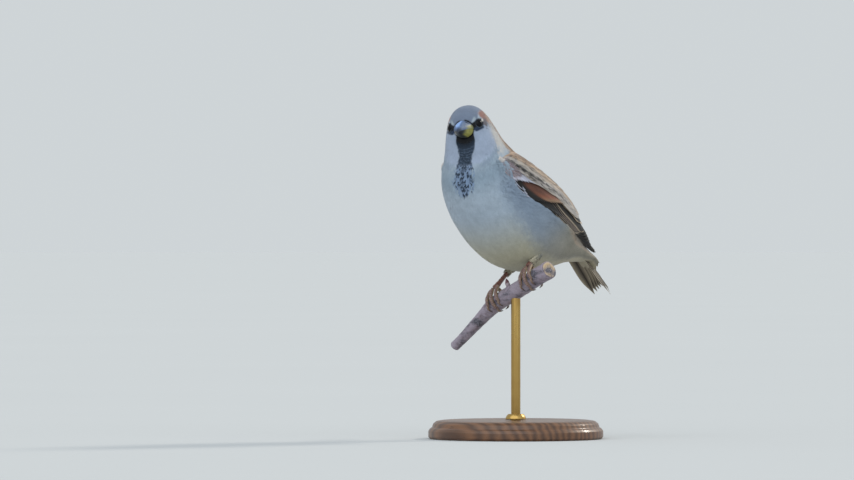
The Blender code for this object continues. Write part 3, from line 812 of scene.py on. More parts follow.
def chosen_places(section, angle, spacing_share):
    """Places for feathers over a range of sections and of angles from the back's midline, on both sides,
    a share of their length apart. They keep off the folded wings and the eyes. Each comes with the steps
    that the coat's surface takes there along s and theta."""
    picks = scattered(OFFERED_PLACES)
    s = section[0] + (section[1] - section[0]) * picks[:, 0]
    deg = angle[0] + (angle[1] - angle[0]) * ((picks[:, 1] * 2) % 1.0)
    theta = np.radians(deg) * np.where(picks[:, 1] < 0.5, -1.0, 1.0)
    here = coat(s, theta, 0.0)
    by_s = (coat(s + 0.02, theta, 0.0) - here) / 0.02
    by_theta = (coat(s, theta + 0.02, 0.0) - here) / 0.02
    area = np.linalg.norm(np.cross(by_s, by_theta), axis=-1)
    density = area / (spacing_share * feather_length(s, deg)) ** 2
    wanted = int(density.mean() * (section[1] - section[0]) * 2 * math.radians(angle[1] - angle[0]))
    offered = min(len(s), int(wanted * density.max() / density.mean()))
    keep = (picks[:, 2] < density / density.max()) & (np.arange(len(s)) < offered)
    row, share = wing_share(s, deg)
    keep &= ~((row > 0.7) & (row < 10) & (share > 0.12) & (share < 0.88))
    keep &= far_from_eyes(here, NEAREST_ROOT) > 0
    return (value[keep] for value in (s, deg, theta, by_s, by_theta))


def body_feathers(name, section, angle, spacing_share, seed, finish):
    """Feathers over a range of sections and of angles from the back's midline, on both sides."""
    rng = np.random.default_rng(seed)
    s, deg, theta, by_s, by_theta = chosen_places(section, angle, spacing_share)
    count = len(s)
    chance = rng.random((count, 3))
    length = feather_length(s, deg) * (0.84 + 0.32 * rng.random(count))
    wider = 0.05 * smooth(6, 9, s) + 0.05 * smooth(9.5, 12, s) * smooth(130, 155, deg)
    wider = wider + 0.07 * smooth(14, 15.5, s)
    half = length * (0.2 + 0.06 * rng.random(count) + wider)
    turn = np.radians(5 * rng.standard_normal(count))
    v = 1 - (1 - np.linspace(0, 1, VANE_ROWS)) ** 1.25
    forward = unit(by_s)
    across = unit(by_theta - forward * np.einsum("vi,vi->v", by_theta, forward)[:, None])
    course = forward * np.cos(turn)[:, None] + across * np.sin(turn)[:, None]
    step_s, step_theta = steps_along(course, by_s, by_theta)
    centre_s = s[:, None] + (length * step_s)[:, None] * v
    centre_theta = theta[:, None] + (length * step_theta)[:, None] * v
    depth = coat_depth(s, deg) * 0.92
    loose = window(s, 10.4, 13.2, 0.8) * smooth(140, 165, deg)
    lift = (0.03 * smooth(-1, 6, s) + 0.03 * loose) * rng.standard_normal(count)
    dive = np.interp(s, [4, 9, 12], [2.0, 3.2, 4.5])[:, None]
    heights = lift[:, None] * v - depth[:, None] * (1 - v) ** dive
    laid = lay_vanes(
        coat, centre_s, centre_theta, half, heights, v, VANE_COLUMNS, 0.035, 0.06, outline, TIP_TEETH
    )
    laid = (clear_of_eyes(laid[0], EYE_OPENING), *laid[1:])
    colour = coat_paint(laid, chance) * varied(rng, count, 0.04)[:, None, None, None]
    put_vanes(name, laid, unwrap(s, theta), colour, finish, "grey_plumage", COAT_SOFTNESS)


# ---------------------------------------------------------------- branch, feet and legs

def branch_at(x):
    """The branch's centre, its direction, its upward normal and its half thickness beside x."""
    rows = np.array(BRANCH_ROWS)
    row = np.interp(x, rows[:, 0], np.arange(len(rows)))
    here, ahead = spline(rows, row), spline(rows, row + 0.05)
    along = np.array([ahead[0] - here[0], 0.0, ahead[1] - here[1]])
    along /= np.linalg.norm(along)
    up = np.array([-along[2], 0.0, along[0]])
    return np.array([here[0], 0.0, here[1]]), along, up, here[2]


def wrap(foot_x, beside, angle, height):
    """Points at a height over the bark, at an angle round the branch from its top."""
    centre, along, up, thick = branch_at(foot_x)
    beside, angle, height = (np.asarray(v, float)[..., None] for v in (beside, angle, height))
    out = up * np.cos(angle) + np.array([0.0, -1.0, 0.0]) * np.sin(angle)
    return centre + along * beside + out * (thick + height)


def leg_line(foot):
    """The knuckle over a foot and the way from there up to the heel."""
    foot_x, rise = FEET[foot]
    return wrap(foot_x, 0.0, 0.0, KNUCKLE + GAP + ARCH), np.array(rise)


THIGH_REACH = {"right": (0.56, 1.25), "left": (0.15, 0.75)}
THIGH_WIDE = (1.7, 2.6, 3.6, 4.6, 5.0)


def thigh_at(foot):
    """The feathered thigh's surface: share of its length down to the tarsus, angle round it, height."""
    knuckle, rise = leg_line(foot)
    low, high = THIGH_REACH[foot]
    ahead = unit(rise)
    side = unit(np.cross(ahead, [0.2, 1.0, 0.1]))
    other = np.cross(ahead, side)

    def surface(share, angle, height):
        share, angle, height = np.broadcast_arrays(share, angle, height)
        place = (high + (low - high) * share)[..., None]
        rim = np.cos(angle)[..., None] * side + np.sin(angle)[..., None] * other
        return knuckle + rise * place + rim * (along_table(THIGH_WIDE, 1 - share) + height)[..., None]

    return surface


SKIN_ROWS, SKIN_COLUMNS, THIGH_BALLS = 220, 192, 14


def skin_rings(rows, columns):
    """The skin: the coat's outline sunk by the coat's depth, raised under the folded wings, and pushed
    out over balls that swell along each thigh. Returns rings, and the s and theta of their points."""
    s = np.linspace(0, COVERTS_END, rows)[:, None] + np.zeros(columns)
    theta = np.linspace(0, 2 * math.pi, columns, endpoint=False) + np.zeros((rows, 1))
    turned = np.where(theta > math.pi, theta - 2 * math.pi, theta)
    degrees = np.abs(np.degrees(turned))
    row, share = wing_share(s, degrees)
    under = window(share, 0.06, 0.94, 0.06) * window(row, 0.3, 10.2, 0.3)
    depth = coat_depth(s, degrees)
    height = under * (depth + 0.1) - depth
    points = coat(s, theta, 0.0)
    normal = coat(s, theta, 1.0) - points
    for foot, (low, high) in THIGH_REACH.items():
        knuckle, rise = leg_line(foot)
        for ball in np.linspace(0, 1, THIGH_BALLS):
            centre = knuckle + rise * (low + (high - low) * ball)
            wide = along_table(THIGH_WIDE, ball) - 0.9
            offset = centre - points
            forward = np.einsum("rci,rci->rc", offset, normal)
            room = wide**2 - (np.einsum("rci,rci->rc", offset, offset) - forward**2)
            reached = forward + np.sqrt(np.maximum(room, 0))
            height = np.where((room > 0) & (forward < 9), np.maximum(height, reached), height)
    return coat(s, theta, height), s, turned


def make_skin():
    """The skin as one closed piece, drawn in to a blunt end at the bill's base and one under the tail."""
    rings, s, theta = skin_rings(SKIN_ROWS, SKIN_COLUMNS)
    shares = [0.8, 0.5, 0.2]
    nose = drawn_in(rings[0], shares[::-1]) + 0.4 * unit(rings[0].mean(0) - rings[3].mean(0))
    rump = drawn_in(rings[-1], shares) + 1.5 * unit(rings[-1].mean(0) - rings[-4].mean(0))
    points, faces = capped(np.concatenate([nose, rings, rump]))
    beyond = np.array(shares)[:, None] + 0 * s[:3]
    s = np.append(np.concatenate([-beyond, s, COVERTS_END + 2.5 - beyond]), [-1.3, COVERTS_END + 2.9])
    theta = np.append(np.concatenate([theta[:3], theta, theta[:3]]), [0.0, 0.0])
    colour = markings(s, np.degrees(theta), 0 * s, 0 * s + 0.8, np.full((len(s), 3), 0.5)) * 0.85
    finish = painted_finish("down_under_the_coat", 0.9, 1400.0, 0.0002, mottle=0.25, specular=0.2)
    skin = put_mesh("skin", points, faces, finish, "grey_plumage", colour, {"OFBake": unwrap(s, theta)})
    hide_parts("head", "neck", "trunk", "thigh_left", "thigh_right")


def nearest_place(points):
    """The section and angle of the coat's outline nearest to each point, and how far out the point is."""
    s, theta = np.meshgrid(np.linspace(8, 16, 65), np.linspace(-math.pi, math.pi, 145), indexing="ij")
    s, theta = s.ravel(), theta.ravel()
    spots = coat(s, theta, 0.0)
    away = coat(s, theta, 1.0) - spots
    nearest = ((points[:, None] - spots[None]) ** 2).sum(-1).argmin(1)
    out = np.einsum("pi,pi->p", points - spots[nearest], away[nearest])
    return s[nearest], theta[nearest], out


def thigh_feathers(foot, finish):
    """Soft feathers that point down each thigh, longest at its top, where it stands out of the belly."""
    rng = np.random.default_rng(41 if foot == "right" else 42)
    picks = scattered(620)
    share = -0.1 + 1.02 * picks[:, 0]
    angle = 2 * math.pi * picks[:, 1]
    s, theta, out = nearest_place(thigh_at(foot)(share, angle, 0.0))
    kept = out > (-0.5 if foot == "right" else -0.15)
    share, angle, s, theta = share[kept], angle[kept], s[kept], theta[kept]
    count = len(share)
    length = (4.2 - 1.8 * share) * (0.8 + 0.4 * rng.random(count))
    low, high = THIGH_REACH[foot]
    whole = np.linalg.norm(leg_line(foot)[1]) * (high - low)
    v = np.linspace(0, 1, VANE_ROWS)
    centre_a = share[:, None] + (length / whole)[:, None] * v
    centre_b = angle[:, None] + 0.1 * rng.standard_normal(count)[:, None] * v
    loose = 0.06 + 0.16 * smooth(0.4, 0.9, share)
    heights = -0.9 + (0.9 + loose * rng.standard_normal(count))[:, None] * v**0.8
    laid = lay_vanes(
        thigh_at(foot), centre_a, centre_b, length * 0.17, heights, v, VANE_COLUMNS, 0.08, 0.1, outline, 0.16
    )
    on_body = (s[:, None, None], theta[:, None, None])
    colour = coat_paint((laid[0], *on_body, *laid[3:]), rng.random((count, 3)))
    fringe = 0.7 * smooth(0.3, 0.8, share)[:, None, None] * smooth(0.1, 0.7, laid[4])
    colour = mixed(colour, THIGH_CREAM, fringe)
    roots = unwrap(s, theta)
    put_vanes("thigh_feathers_" + foot, laid, roots, colour, finish, "grey_plumage", 0.5 * COAT_SOFTNESS)


def scutes(count, depth):
    """Overlapping plates across the front of a tarsus or toe: a saw-tooth along its length, strongest
    on the upper face."""

    def relief(share, angles):
        tooth = (share * count) % 1.0
        front = 0.35 + 0.65 * np.clip(np.sin(angles), 0, 1)
        return depth * (0.5 - tooth) * front

    return relief


def pads(count, depth):
    """Scutes above, and swollen pads below a toe."""

    def relief(share, angles):
        below = np.clip(-np.sin(angles), 0, 1)
        swell = np.abs(np.sin(math.pi * share * count)) ** 0.7 - 0.5
        return scutes(4 * count, 0.12)(share, angles) + depth * below * swell

    return relief


def make_leg(foot, skin_finish, claw_finish):
    """One tarsus with its four toes and claws, each a tube carried along the path of its solid."""
    foot_x = FEET[foot][0]
    knuckle, rise = leg_line(foot)
    centre, along, _, thick = branch_at(foot_x)

    def carried(beside, turned, lift, reach, sides, flat=1.0):
        """A tube over the bark: beside the foot, turned round the branch and lifted off it."""
        path = wrap(foot_x, beside, turned, lift)
        radial = unit(path - centre - along * beside[:, None])
        side = flat * unit(np.cross(np.gradient(path, axis=0), radial))
        return capped(round_path(path, side, radial, reach, turns(sides)))

    t = np.linspace(0, 1, 60)
    radii = 1.12 * along_table(TARSUS_RADII, t)
    solids = [capped(tube_rings(knuckle + rise * t[:, None], radii, [0.0, -1.0, 0.3], 20, scutes(9, 0.14)))]
    claws = []
    # Of each corner: how far down the toe it is, how far it faces up, and its place in its scute.
    tints = [np.zeros(len(solids[0][0]))]
    tops = [np.full(len(solids[0][0]), 0.5)]
    edges = [np.append(np.repeat((t * 9) % 1, 20), [0, 0])]
    for name, root, tip, start, length in TOES:
        reach = thick + TOE_RADII[0] + GAP
        start, sweep = math.radians(start), length / reach
        t = np.linspace(0, 1, 72)
        radii = along_table(TOE_SHAPE, t)
        swell = 1 + pads(3, 0.24)(t[:, None], turns(18))
        lift = radii + GAP * 0.4 + ARCH * (1 - t) ** 4
        solids.append(carried(root + (tip - root) * t, start + sweep * t, lift, radii[:, None] * swell, 18))
        tints.append(np.append(np.repeat(0.4 + 0.6 * t, 18), [0.4, 1.0]))
        tops.append(np.append(np.tile(np.sin(turns(18)), len(t)), [0, 0]))
        edges.append(np.append(np.repeat((t * 12) % 1, 18), [0, 0]))
        t = np.linspace(0, 1, 22)
        radii = 1.1 * along_table(CLAW_RADII, t)[:, None]
        turn = math.copysign(CLAW_LENGTH / reach, length)
        first = start + sweep - math.copysign(0.5 / reach, length)
        bow = GAP + CLAW_RADII[0] + CLAW_HOOK * np.sin(math.pi * t) * (1 - t)
        claws.append(carried(tip + 0 * t, first + turn * t, bow, radii, 14, 0.8))
    points, faces = joined(solids)
    tint, top, edge = (np.concatenate(values) for values in (tints, tops, edges))
    toe = smooth(0.1, 0.4, tint)
    first, second = np.sin(points @ np.array([[2.1, 1.3], [1.7, -2.2], [2.9, 0.9]])).T
    ochre = smooth(0.5, -0.3, top) + 0.5 * smooth(0.5, 0.8, 0.5 + 0.5 * first * second)
    colour = layered(
        LEG_BROWN,
        (TOE_MAUVE, toe),
        (TOE_OCHRE, toe * np.clip(ochre, 0, 1)),
        (SCUTE_DARK, 0.65 * smooth(0.6, 0.9, edge) * smooth(-0.2, 0.5, top)),
    )
    leg = put_mesh("leg_" + foot, points, faces, skin_finish, "leg_skin", colour)
    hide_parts("tarsus_" + foot, *(f"toe_{foot}_{name[0]}" for name in TOES))
    points, faces = joined(claws)
    shade = np.tile(np.append(np.repeat(t, 14), [0, 1]), len(TOES))
    colour = mixed(CLAW_ROOT, CLAW_TIP, smooth(0.2, 1, shade))
    claw = put_mesh("claws_" + foot, points, faces, claw_finish, "claw_horn", colour)
    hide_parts(*(f"claw_{foot}_{toe[0]}" for toe in TOES))


# ---------------------------------------------------------------- bill and eyes

def bill_point(forward, side, up):
    """From the bill's own frame to the bird: forward along it, to the left, and up."""
    forward, side, up = np.broadcast_arrays(forward, side, up)
    y = -forward * math.cos(BILL_DIP) - up * math.sin(BILL_DIP)
    z = -forward * math.sin(BILL_DIP) + up * math.cos(BILL_DIP)
    return turn_head(np.stack([side, y, z], axis=-1) + BILL_BASE, 1.0) + BELLY_POINT


def make_mandible(name, height, turn, finish, slot):
    """Half of the bill: half-round sections that shrink to the tip as 1 - t^1.3 and 1 - t^1.45 do. The
    upper one has a ridge along its culmen, a nostril pit near its base and an overhanging tip."""
    rows, sides = 72, 49
    upper = turn > 0
    t = np.linspace(-0.12, 1, rows)
    ahead = np.clip(t, 0, 1)
    forward = GAP + t * BILL_LENGTH * (1.0 if upper else 0.955)
    wide = BILL_HALF_WIDTH * np.maximum(1 - ahead**1.3, 0.0004) ** 0.85
    high = height * np.maximum(1 - ahead**1.45, 0.0004) ** 0.85
    across = np.cos(np.linspace(0, math.pi, sides))
    rise = np.sin(np.linspace(0, math.pi, sides)) ** 0.9
    crest = np.exp(-((across / 0.16) ** 2))
    bulk = 1 + 0.03 * crest * smooth(0, 0.2, 1 - ahead)[:, None]
    narrow = 1 - (0.2 if upper else 0.08) * (1 - ahead)[:, None] * rise**2
    side = wide[:, None] * across * narrow * (1.0 if upper else 0.95)
    droop = -0.9 * (1 - ahead) ** 3
    up = droop[:, None] + turn * (0.03 + high[:, None] * rise * bulk)
    if upper:
        # The nostril's pit lies low on each side, about a seventh of the way out from the feathers.
        pit = np.exp(-(((t[:, None] - 0.15) / 0.05) ** 2) - ((np.abs(across) - 0.62) / 0.12) ** 2)
        side = side * (1 - 0.13 * pit)
        up = up - 0.35 * pit - 0.5 * smooth(0.9, 1.0, t)[:, None]
    points = bill_point(forward[:, None], side, up)
    flat = bill_point(forward, 0 * wide, droop + turn * 0.02)[:, None]
    solid, faces = capped(np.concatenate([points, flat], axis=1))
    grown = np.concatenate([np.repeat(ahead, sides + 1), [0, 1]])
    around = np.concatenate([np.tile(np.append(across, 0), rows), [0, 0]])
    lift = np.concatenate([np.tile(np.append(rise, 0), rows), [0, 0]])
    # Long streaks of the horn, thin and broken.
    horn = 0.5 + 0.5 * np.sin(19 * around + 2.5 * np.sin(6 * grown)) * np.sin(7 * grown + 3 * around)
    if upper:
        # A painted highlight: pale streaks along one side of the culmen, broken up by the horn's streaks.
        painted_highlight = window(around, -0.72, 0.12, 0.16) * window(grown, 0.06, 0.72, 0.12)
        pit = np.exp(-(((grown - 0.15) / 0.06) ** 2) - ((np.abs(around) - 0.62) / 0.16) ** 2)
        colour = layered(
            HORN_BLUE,
            (HORN_PAINTED_HIGHLIGHT, (0.5 + 0.45 * horn) * painted_highlight),
            (HORN_GREY, 0.7 * smooth(0.2, 0.6, around) * (0.4 + 0.6 * horn)),
            (HORN_DARK_AND_SHADE, 0.85 * smooth(0.7, 0.95, grown)),
            (NOSTRIL, np.clip(pit * 1.3, 0, 1)),
            (HORN_OLIVE, 0.7 * smooth(0.86, 0.97, around) * (1 - smooth(0.3, 0.6, grown))),
            (HORN_DARK_AND_SHADE, 0.4 * smooth(0.9, 0.98, -around) * smooth(0.2, 0.5, grown)),
        )
    else:
        yellow = smooth(-0.1, 0.4, around) * (1 - smooth(0.42, 0.8, grown))
        # Painted shade: the yellow dimmed along the underside.
        yellow = yellow * (1 - 0.7 * smooth(0.9, 1.0, lift))
        colour = layered(
            LOWER_HORN,
            (HORN_OLIVE * (0.8 + 0.3 * horn[:, None]), 0.95 * yellow),
            # A painted highlight along one low edge of the lower mandible, by its base.
            (GAPE_PAINTED_HIGHLIGHT, 0.8 * smooth(0.78, 0.93, -around) * (1 - smooth(0.25, 0.5, grown))),
            (HORN_DARK_AND_SHADE, 0.85 * smooth(0.45, 0.85, grown)),
            # Painted shade: the underside darker, beneath the tip.
            (HORN_DARK_AND_SHADE, 0.6 * smooth(0.86, 1.0, lift) * (1 - yellow)),
        )
    piece = put_mesh(name, solid, faces, finish, slot, colour, sharp=50)
    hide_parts(name.replace("_horn", ""))


def make_eye(name, centre, axis, eye_look, lid_look):
    """A ball about the eye's axis, and a lid: a ring that lies on the ball round the opening, a little
    wider than high, and rolls outwards into the feathers."""
    up = unit(np.array([0.0, 0.0, 1.0]) - axis * axis[2])
    side = np.cross(up, axis)
    polar = np.linspace(0.02, math.pi - 0.02, 40)[:, None]
    rim = np.cos(turns(56))[:, None] * side + np.sin(turns(56))[:, None] * up
    ring = np.cos(polar)[..., None] * axis + np.sin(polar)[..., None] * rim
    points, faces = capped(centre + EYE_RADIUS * ring)
    angle = np.append(np.repeat(polar, 56), [0, math.pi])
    colour = mixed(PUPIL, IRIS, smooth(0.4, 0.46, angle))
    ball = put_mesh("eyeball_" + name, points, faces, eye_look, "eye", colour)
    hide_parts("eye_" + name)
    around, roll, thick = turns(72), turns(12)[:, None], 0.12
    opening = 1.86 - 0.10 * np.sin(around) ** 2 - 0.05 * np.abs(np.sin(around)) * np.cos(around)
    reach = opening + thick + thick * 1.25 * np.cos(roll)
    level = np.sqrt(np.maximum(EYE_RADIUS**2 - (opening + thick) ** 2, 0)) + 0.06
    level = level + thick * np.sin(roll) + 0.03 * np.sin(9 * around)
    rim = np.cos(around)[:, None] * side + np.sin(around)[:, None] * up
    rings = centre + level[..., None] * axis + reach[..., None] * rim
    faces = [grid_faces(12, 72, looped=True)]
    colour = mixed(LID, LID_LOW, np.tile(0.6 * smooth(0.1, 0.8, -np.sin(around)), 12))
    put_mesh("eyelid_" + name, rings.reshape(-1, 3), faces, lid_look, "grey_plumage", colour)


# ---------------------------------------------------------------- wings and tail

QUILL_COLUMNS = np.array([-1.0, -0.72, -0.35, -0.06, 0.0, 0.06, 0.35, 0.72, 1.0])
COVERT_COLUMNS = np.array([-1.0, -0.62, -0.07, 0.0, 0.07, 0.62, 1.0])
# How each kind of wing feather is laid.
QUILL = {"rows": 18, "teeth": 0.012}
COVERT = {"rows": 10, "columns": COVERT_COLUMNS}
SMALL = {"rows": VANE_ROWS, "columns": VANE_COLUMNS, "shape": outline}
SCAPULAR = {"rows": 8, "columns": COVERT_COLUMNS, "shape": outline, "teeth": 0.03, "power": 0.4}


def quills(
    surface, roots, tips, half, heights, rows, teeth, bow=0.0, lean=0.0, shape=flight_outline,
    columns=QUILL_COLUMNS, tilt=-0.1, power=0.8,
):
    """Larger feathers one by one: each centre line runs from its root to its tip on the surface, bowed
    by a share, and its height goes from its first to its second value."""
    roots, tips, half, heights = (np.asarray(value, float) for value in (roots, tips, half, heights))
    v = np.linspace(0, 1, rows)
    lines = roots[:, None] + (tips - roots)[:, None] * v[:, None]
    lines[..., 1] += np.reshape(bow, (-1, 1)) * 4 * v * (1 - v)
    rise = heights[:, :1] + (heights[:, 1:] - heights[:, :1]) * v**power
    return lay_vanes(
        surface, lines[..., 0], lines[..., 1], half, rise, v, columns, 0.1, 0.07, shape, teeth, lean, tilt
    )


def fan(first, last, count):
    """Values shared out evenly from the first to the last."""
    return np.linspace(np.asarray(first, float), np.asarray(last, float), count)


def fanned(surface, count, roots, tips, half, heights, **kind):
    """Quills whose measures are shared out evenly, each given as its first and its last value."""
    shared = (fan(*ends, count) for ends in (roots, tips, half, heights))
    return quills(surface, *shared, **kind)


def edged(laid, centre, edge, outer, inner, tip, tones, soft=0.1):
    """Vane paint: a centre colour, an edge colour over the given shares of the outer (low) web, the inner
    web and the tip, a darker shaft, and a tone of each feather."""
    u, v = laid[3:5]
    centre, edge = (np.asarray(colour).reshape(-1, 1, 1, 3) for colour in (centre, edge))
    rims = [
        smooth(1 - share - soft, 1 - share + soft, where) * (share > 0)
        for share, where in ((outer, -u), (inner, u), (tip, v + 0.08 * u * u))
    ]
    shaft = (np.abs(u) < 0.07) * smooth(1.0, 0.8, v)
    colour = mixed(mixed(centre, edge, np.max(rims, axis=0)), STREAK_BLACK * 0.6, 0.6 * shaft)
    return colour * np.asarray(tones).reshape(-1, 1, 1, 1)


def over_wing(s, theta, height):
    """The coat carried up over the front and low edge of the folded wing, from a strip below it."""
    s, theta, height = np.broadcast_arrays(s, theta, height)
    degrees = np.abs(np.degrees(theta))
    row, share = wing_share(s, degrees)
    sections, _, lows, _ = np.array(WING_ROWS, float).T
    low = np.interp(s, sections, lows)
    lifted = wing_height(np.clip(row, 0, len(WING_ROWS) - 1), share)
    lifted = lifted * (1 - smooth(0, 14, degrees - low)) * smooth(6.0, 6.6, s)
    return coat(s, theta, lifted + height)


# section of the body, and the angle that the flank's feathers hide the wing up to
LAP_EDGE = (
    (5.9, 6.65, 7.25, 7.5, 7.9, 8.35, 9, 10, 11.1, 12.1, 12.7, 13.4),
    (99, 94.7, 92.8, 93, 96.7, 99.5, 96.5, 87, 79, 69.5, 65.5, 67),
)


def black_line(colour, laid):
    """The broken black line over the wing bar: blots along a curve of the wing's rows and shares. The
    finer lines above it follow the same rows."""
    row, share = laid[1], laid[2]
    rows = [1.2, 1.53, 1.95, 2.35, 2.7, 3.03, 3.9, 4.4]
    line = np.interp(row, rows, [0.8, 0.76, 0.69, 0.645, 0.6, 0.575, 0.57, 0.56])
    blots = smooth(-0.75, -0.15, np.sin(2 * math.pi * row / 0.41 + 0.6))
    width = np.interp(row, [1.2, 1.6, 2.9, 3.4, 4.4], [0.03, 0.046, 0.044, 0.02, 0.014])
    mark = (1 - smooth(0.7 * width, 1.3 * width, np.abs(share - line))) * blots * window(row, 1.25, 4.5, 0.1)
    fine = smooth(0.5, 0.9, np.sin(2 * math.pi * (share + 0.03 * row) / 0.155))
    fine = 0.62 * fine * (1 - smooth(0.42, 0.52, share)) * smooth(0.3, 0.6, laid[4])
    return layered(colour, (STREAK_BLACK, fine), (STREAK_BLACK * 0.25, mark))


def primary_quills(surface, rng):
    """The outermost lies lowest, and the third from the edge reaches furthest back."""
    rows = [9.5, 9.85, 10.0, 9.75, 9.15, 8.55, 8.05, 7.65, 7.3]
    tips = pairs(rows, [0.98, 0.93, 0.86, 0.78, 0.73, 0.70, 0.68, 0.66, 0.64])
    laid = quills(
        surface, fan((3.1, 0.93), (3.9, 0.82), 9), tips, fan(2.2, 3.0, 9), fan((-2.3, -0.1), (-1.5, 0.3), 9),
        bow=fan(0.04, 0.02, 9), lean=-0.45, power=2.2, **QUILL,
    )
    colour = edged(laid, WING_DARK, EDGE_BUFF * 0.6, 0.07, 0.0, 0.01, varied(rng, 9, 0.1), 0.04)
    yield laid, mixed(colour, WING_DARK, 0.9 * smooth(0.6, 0.8, laid[4]))


def secondary_quills(surface, rng):
    """The secondaries, then the three tertials over them."""
    laid = fanned(
        surface, 7, ((3.5, 0.92), (4.1, 0.72)), ((6.9, 0.88), (7.2, 0.62)), (2.7, 3.3),
        ((-1.5, -0.75), (-1.0, -0.35)), bow=0.01, lean=-0.3, **QUILL,
    )
    edges = mixed(EDGE_BUFF, LESSER_PINK, fan(0.2, 0.7, 7))
    yield laid, edged(laid, WING_DARK, edges, 0.16, 0.0, 0.04, varied(rng, 7, 0.1), 0.06)
    laid = quills(
        surface, [(3.7, 0.70), (3.6, 0.56), (3.5, 0.42)], [(7.45, 0.60), (6.6, 0.48), (5.6, 0.38)],
        [3.7, 3.8, 3.6], [(-0.9, -0.12), (-0.6, 0.08), (-0.4, 0.22)], lean=-0.15, **QUILL,
    )
    edges = mixed(EDGE_BUFF, WING_CHESTNUT, np.array([0.1, 0.2, 0.3]))
    yield laid, edged(laid, WING_DARK * 1.2, edges, 0.2, 0.22, 0.08, [1.0, 1.05, 0.95])


def greater_coverts(surface, rng):
    """The primary coverts along the low edge, the greater ones, the alula, and the bar's median ones."""
    laid = fanned(
        surface, 7, ((1.9, 0.98), (2.8, 0.9)), ((3.6, 1.02), (4.9, 0.92)), (1.3, 1.7),
        ((-1.6, -0.5), (-1.3, -0.3)), bow=0.03, lean=-0.3, teeth=0.015, **COVERT,
    )
    yield laid, edged(laid, WING_DARK * 0.85, WING_DARK * 2.4, 0.2, 0.0, 0.05, varied(rng, 7, 0.1), 0.06)
    # Greater coverts: black below, then the chestnut panel, with ochre ends.
    laid = fanned(
        surface, 15, ((2.0, 0.97), (2.8, 0.62)), ((3.8, 0.98), (4.55, 0.67)), (1.3, 1.5),
        ((-1.1, -0.1), (-0.8, 0.12)), lean=-0.15, teeth=0.03, tilt=-0.2, **COVERT,
    )
    warm = smooth(3.6, 6.6, np.arange(15))
    centres = mixed(WING_DARK, WING_CHESTNUT, 0.6 * warm)
    edges = mixed(WING_DARK * 1.3, WING_CHESTNUT * 1.1, warm)
    yield laid, layered(
        edged(laid, centres, edges, 0.3, 0.2, 0.1, varied(rng, 15, 0.2), 0.2),
        (WING_OCHRE, 0.8 * smooth(0.64, 0.94, laid[4]) * warm[:, None, None]),
        (WING_DARK, 0.55 * (1 - smooth(0.45, 0.75, laid[4]))),
    )
    # Alula: three small quills with bluish white outer edges over the dark low edge.
    laid = quills(
        surface, [(2.1, 0.94), (2.15, 0.97), (2.2, 1.0)], [(2.95, 0.965), (3.15, 0.995), (3.35, 1.025)],
        [0.75, 0.8, 0.85], [(-0.6, 0.34), (-0.6, 0.28), (-0.6, 0.22)],
        bow=0.02, lean=-0.3, teeth=0.015, **COVERT,
    )
    yield laid, edged(laid, WING_DARK, BAR_WHITE * 1.15, 0.42, 0.0, 0.1, 1.0, 0.08)
    # Median coverts: dark, with the pale ends that make the bar.
    tips = pairs(fan(2.35, 3.25, 10) + 0.05 * rng.standard_normal(10), fan(0.96, 0.64, 10))
    laid = quills(
        surface, fan((0.95, 0.97), (2.0, 0.6), 10), tips, fan(1.2, 1.6, 10),
        fan((-0.9, 0.2), (-0.7, 0.34), 10), teeth=0.12, shape=outline, **COVERT,
    )
    whites = mixed(BAR_WHITE, LESSER_PINK, 0.5 * rng.random(10))
    yield laid, edged(laid, WING_DARK * 2, whites, 0.06, 0.06, 0.55, varied(rng, 10, 0.12), 0.2)


def lesser_coverts(surface, rng):
    """Small feathers over the bend of the wing."""
    picks = scattered(900)
    row, share = 0.1 + 1.8 * picks[:, 0], 0.02 + 1.05 * picks[:, 1]
    keep = (share > 0.44 - 0.3 * smooth(0.9, 0.0, row)) & (row + 0.9 * share < 2.55)
    row, share = row[keep], share[keep]
    count = len(row)
    length = 0.5 + 0.12 * rng.random(count)
    aside, high, wide = rng.standard_normal((count, 3)).T
    laid = quills(
        surface, pairs(row, share), pairs(row + length, share + 0.015 * aside), 0.9 + 0.08 * wide,
        pairs(-0.6 + 0.04 * high, 0.2 + 0.04 * high), teeth=0.07, **SMALL,
    )
    away = np.hypot((row - 0.8) / 1.2, (share - 0.7) / 0.5) - 0.75
    reddish = smooth(0.35, -0.35, away + 0.5 * rng.random(count))
    hearts = mixed(LESSER_PINK * 0.75, WING_CHESTNUT * 0.85, 0.8 * reddish)
    fringes = mixed(LESSER_PINK, BAR_WHITE, 0.4)
    yield laid, edged(laid, hearts, fringes, 0.16, 0.16, 0.24, varied(rng, count, 0.12), 0.2)


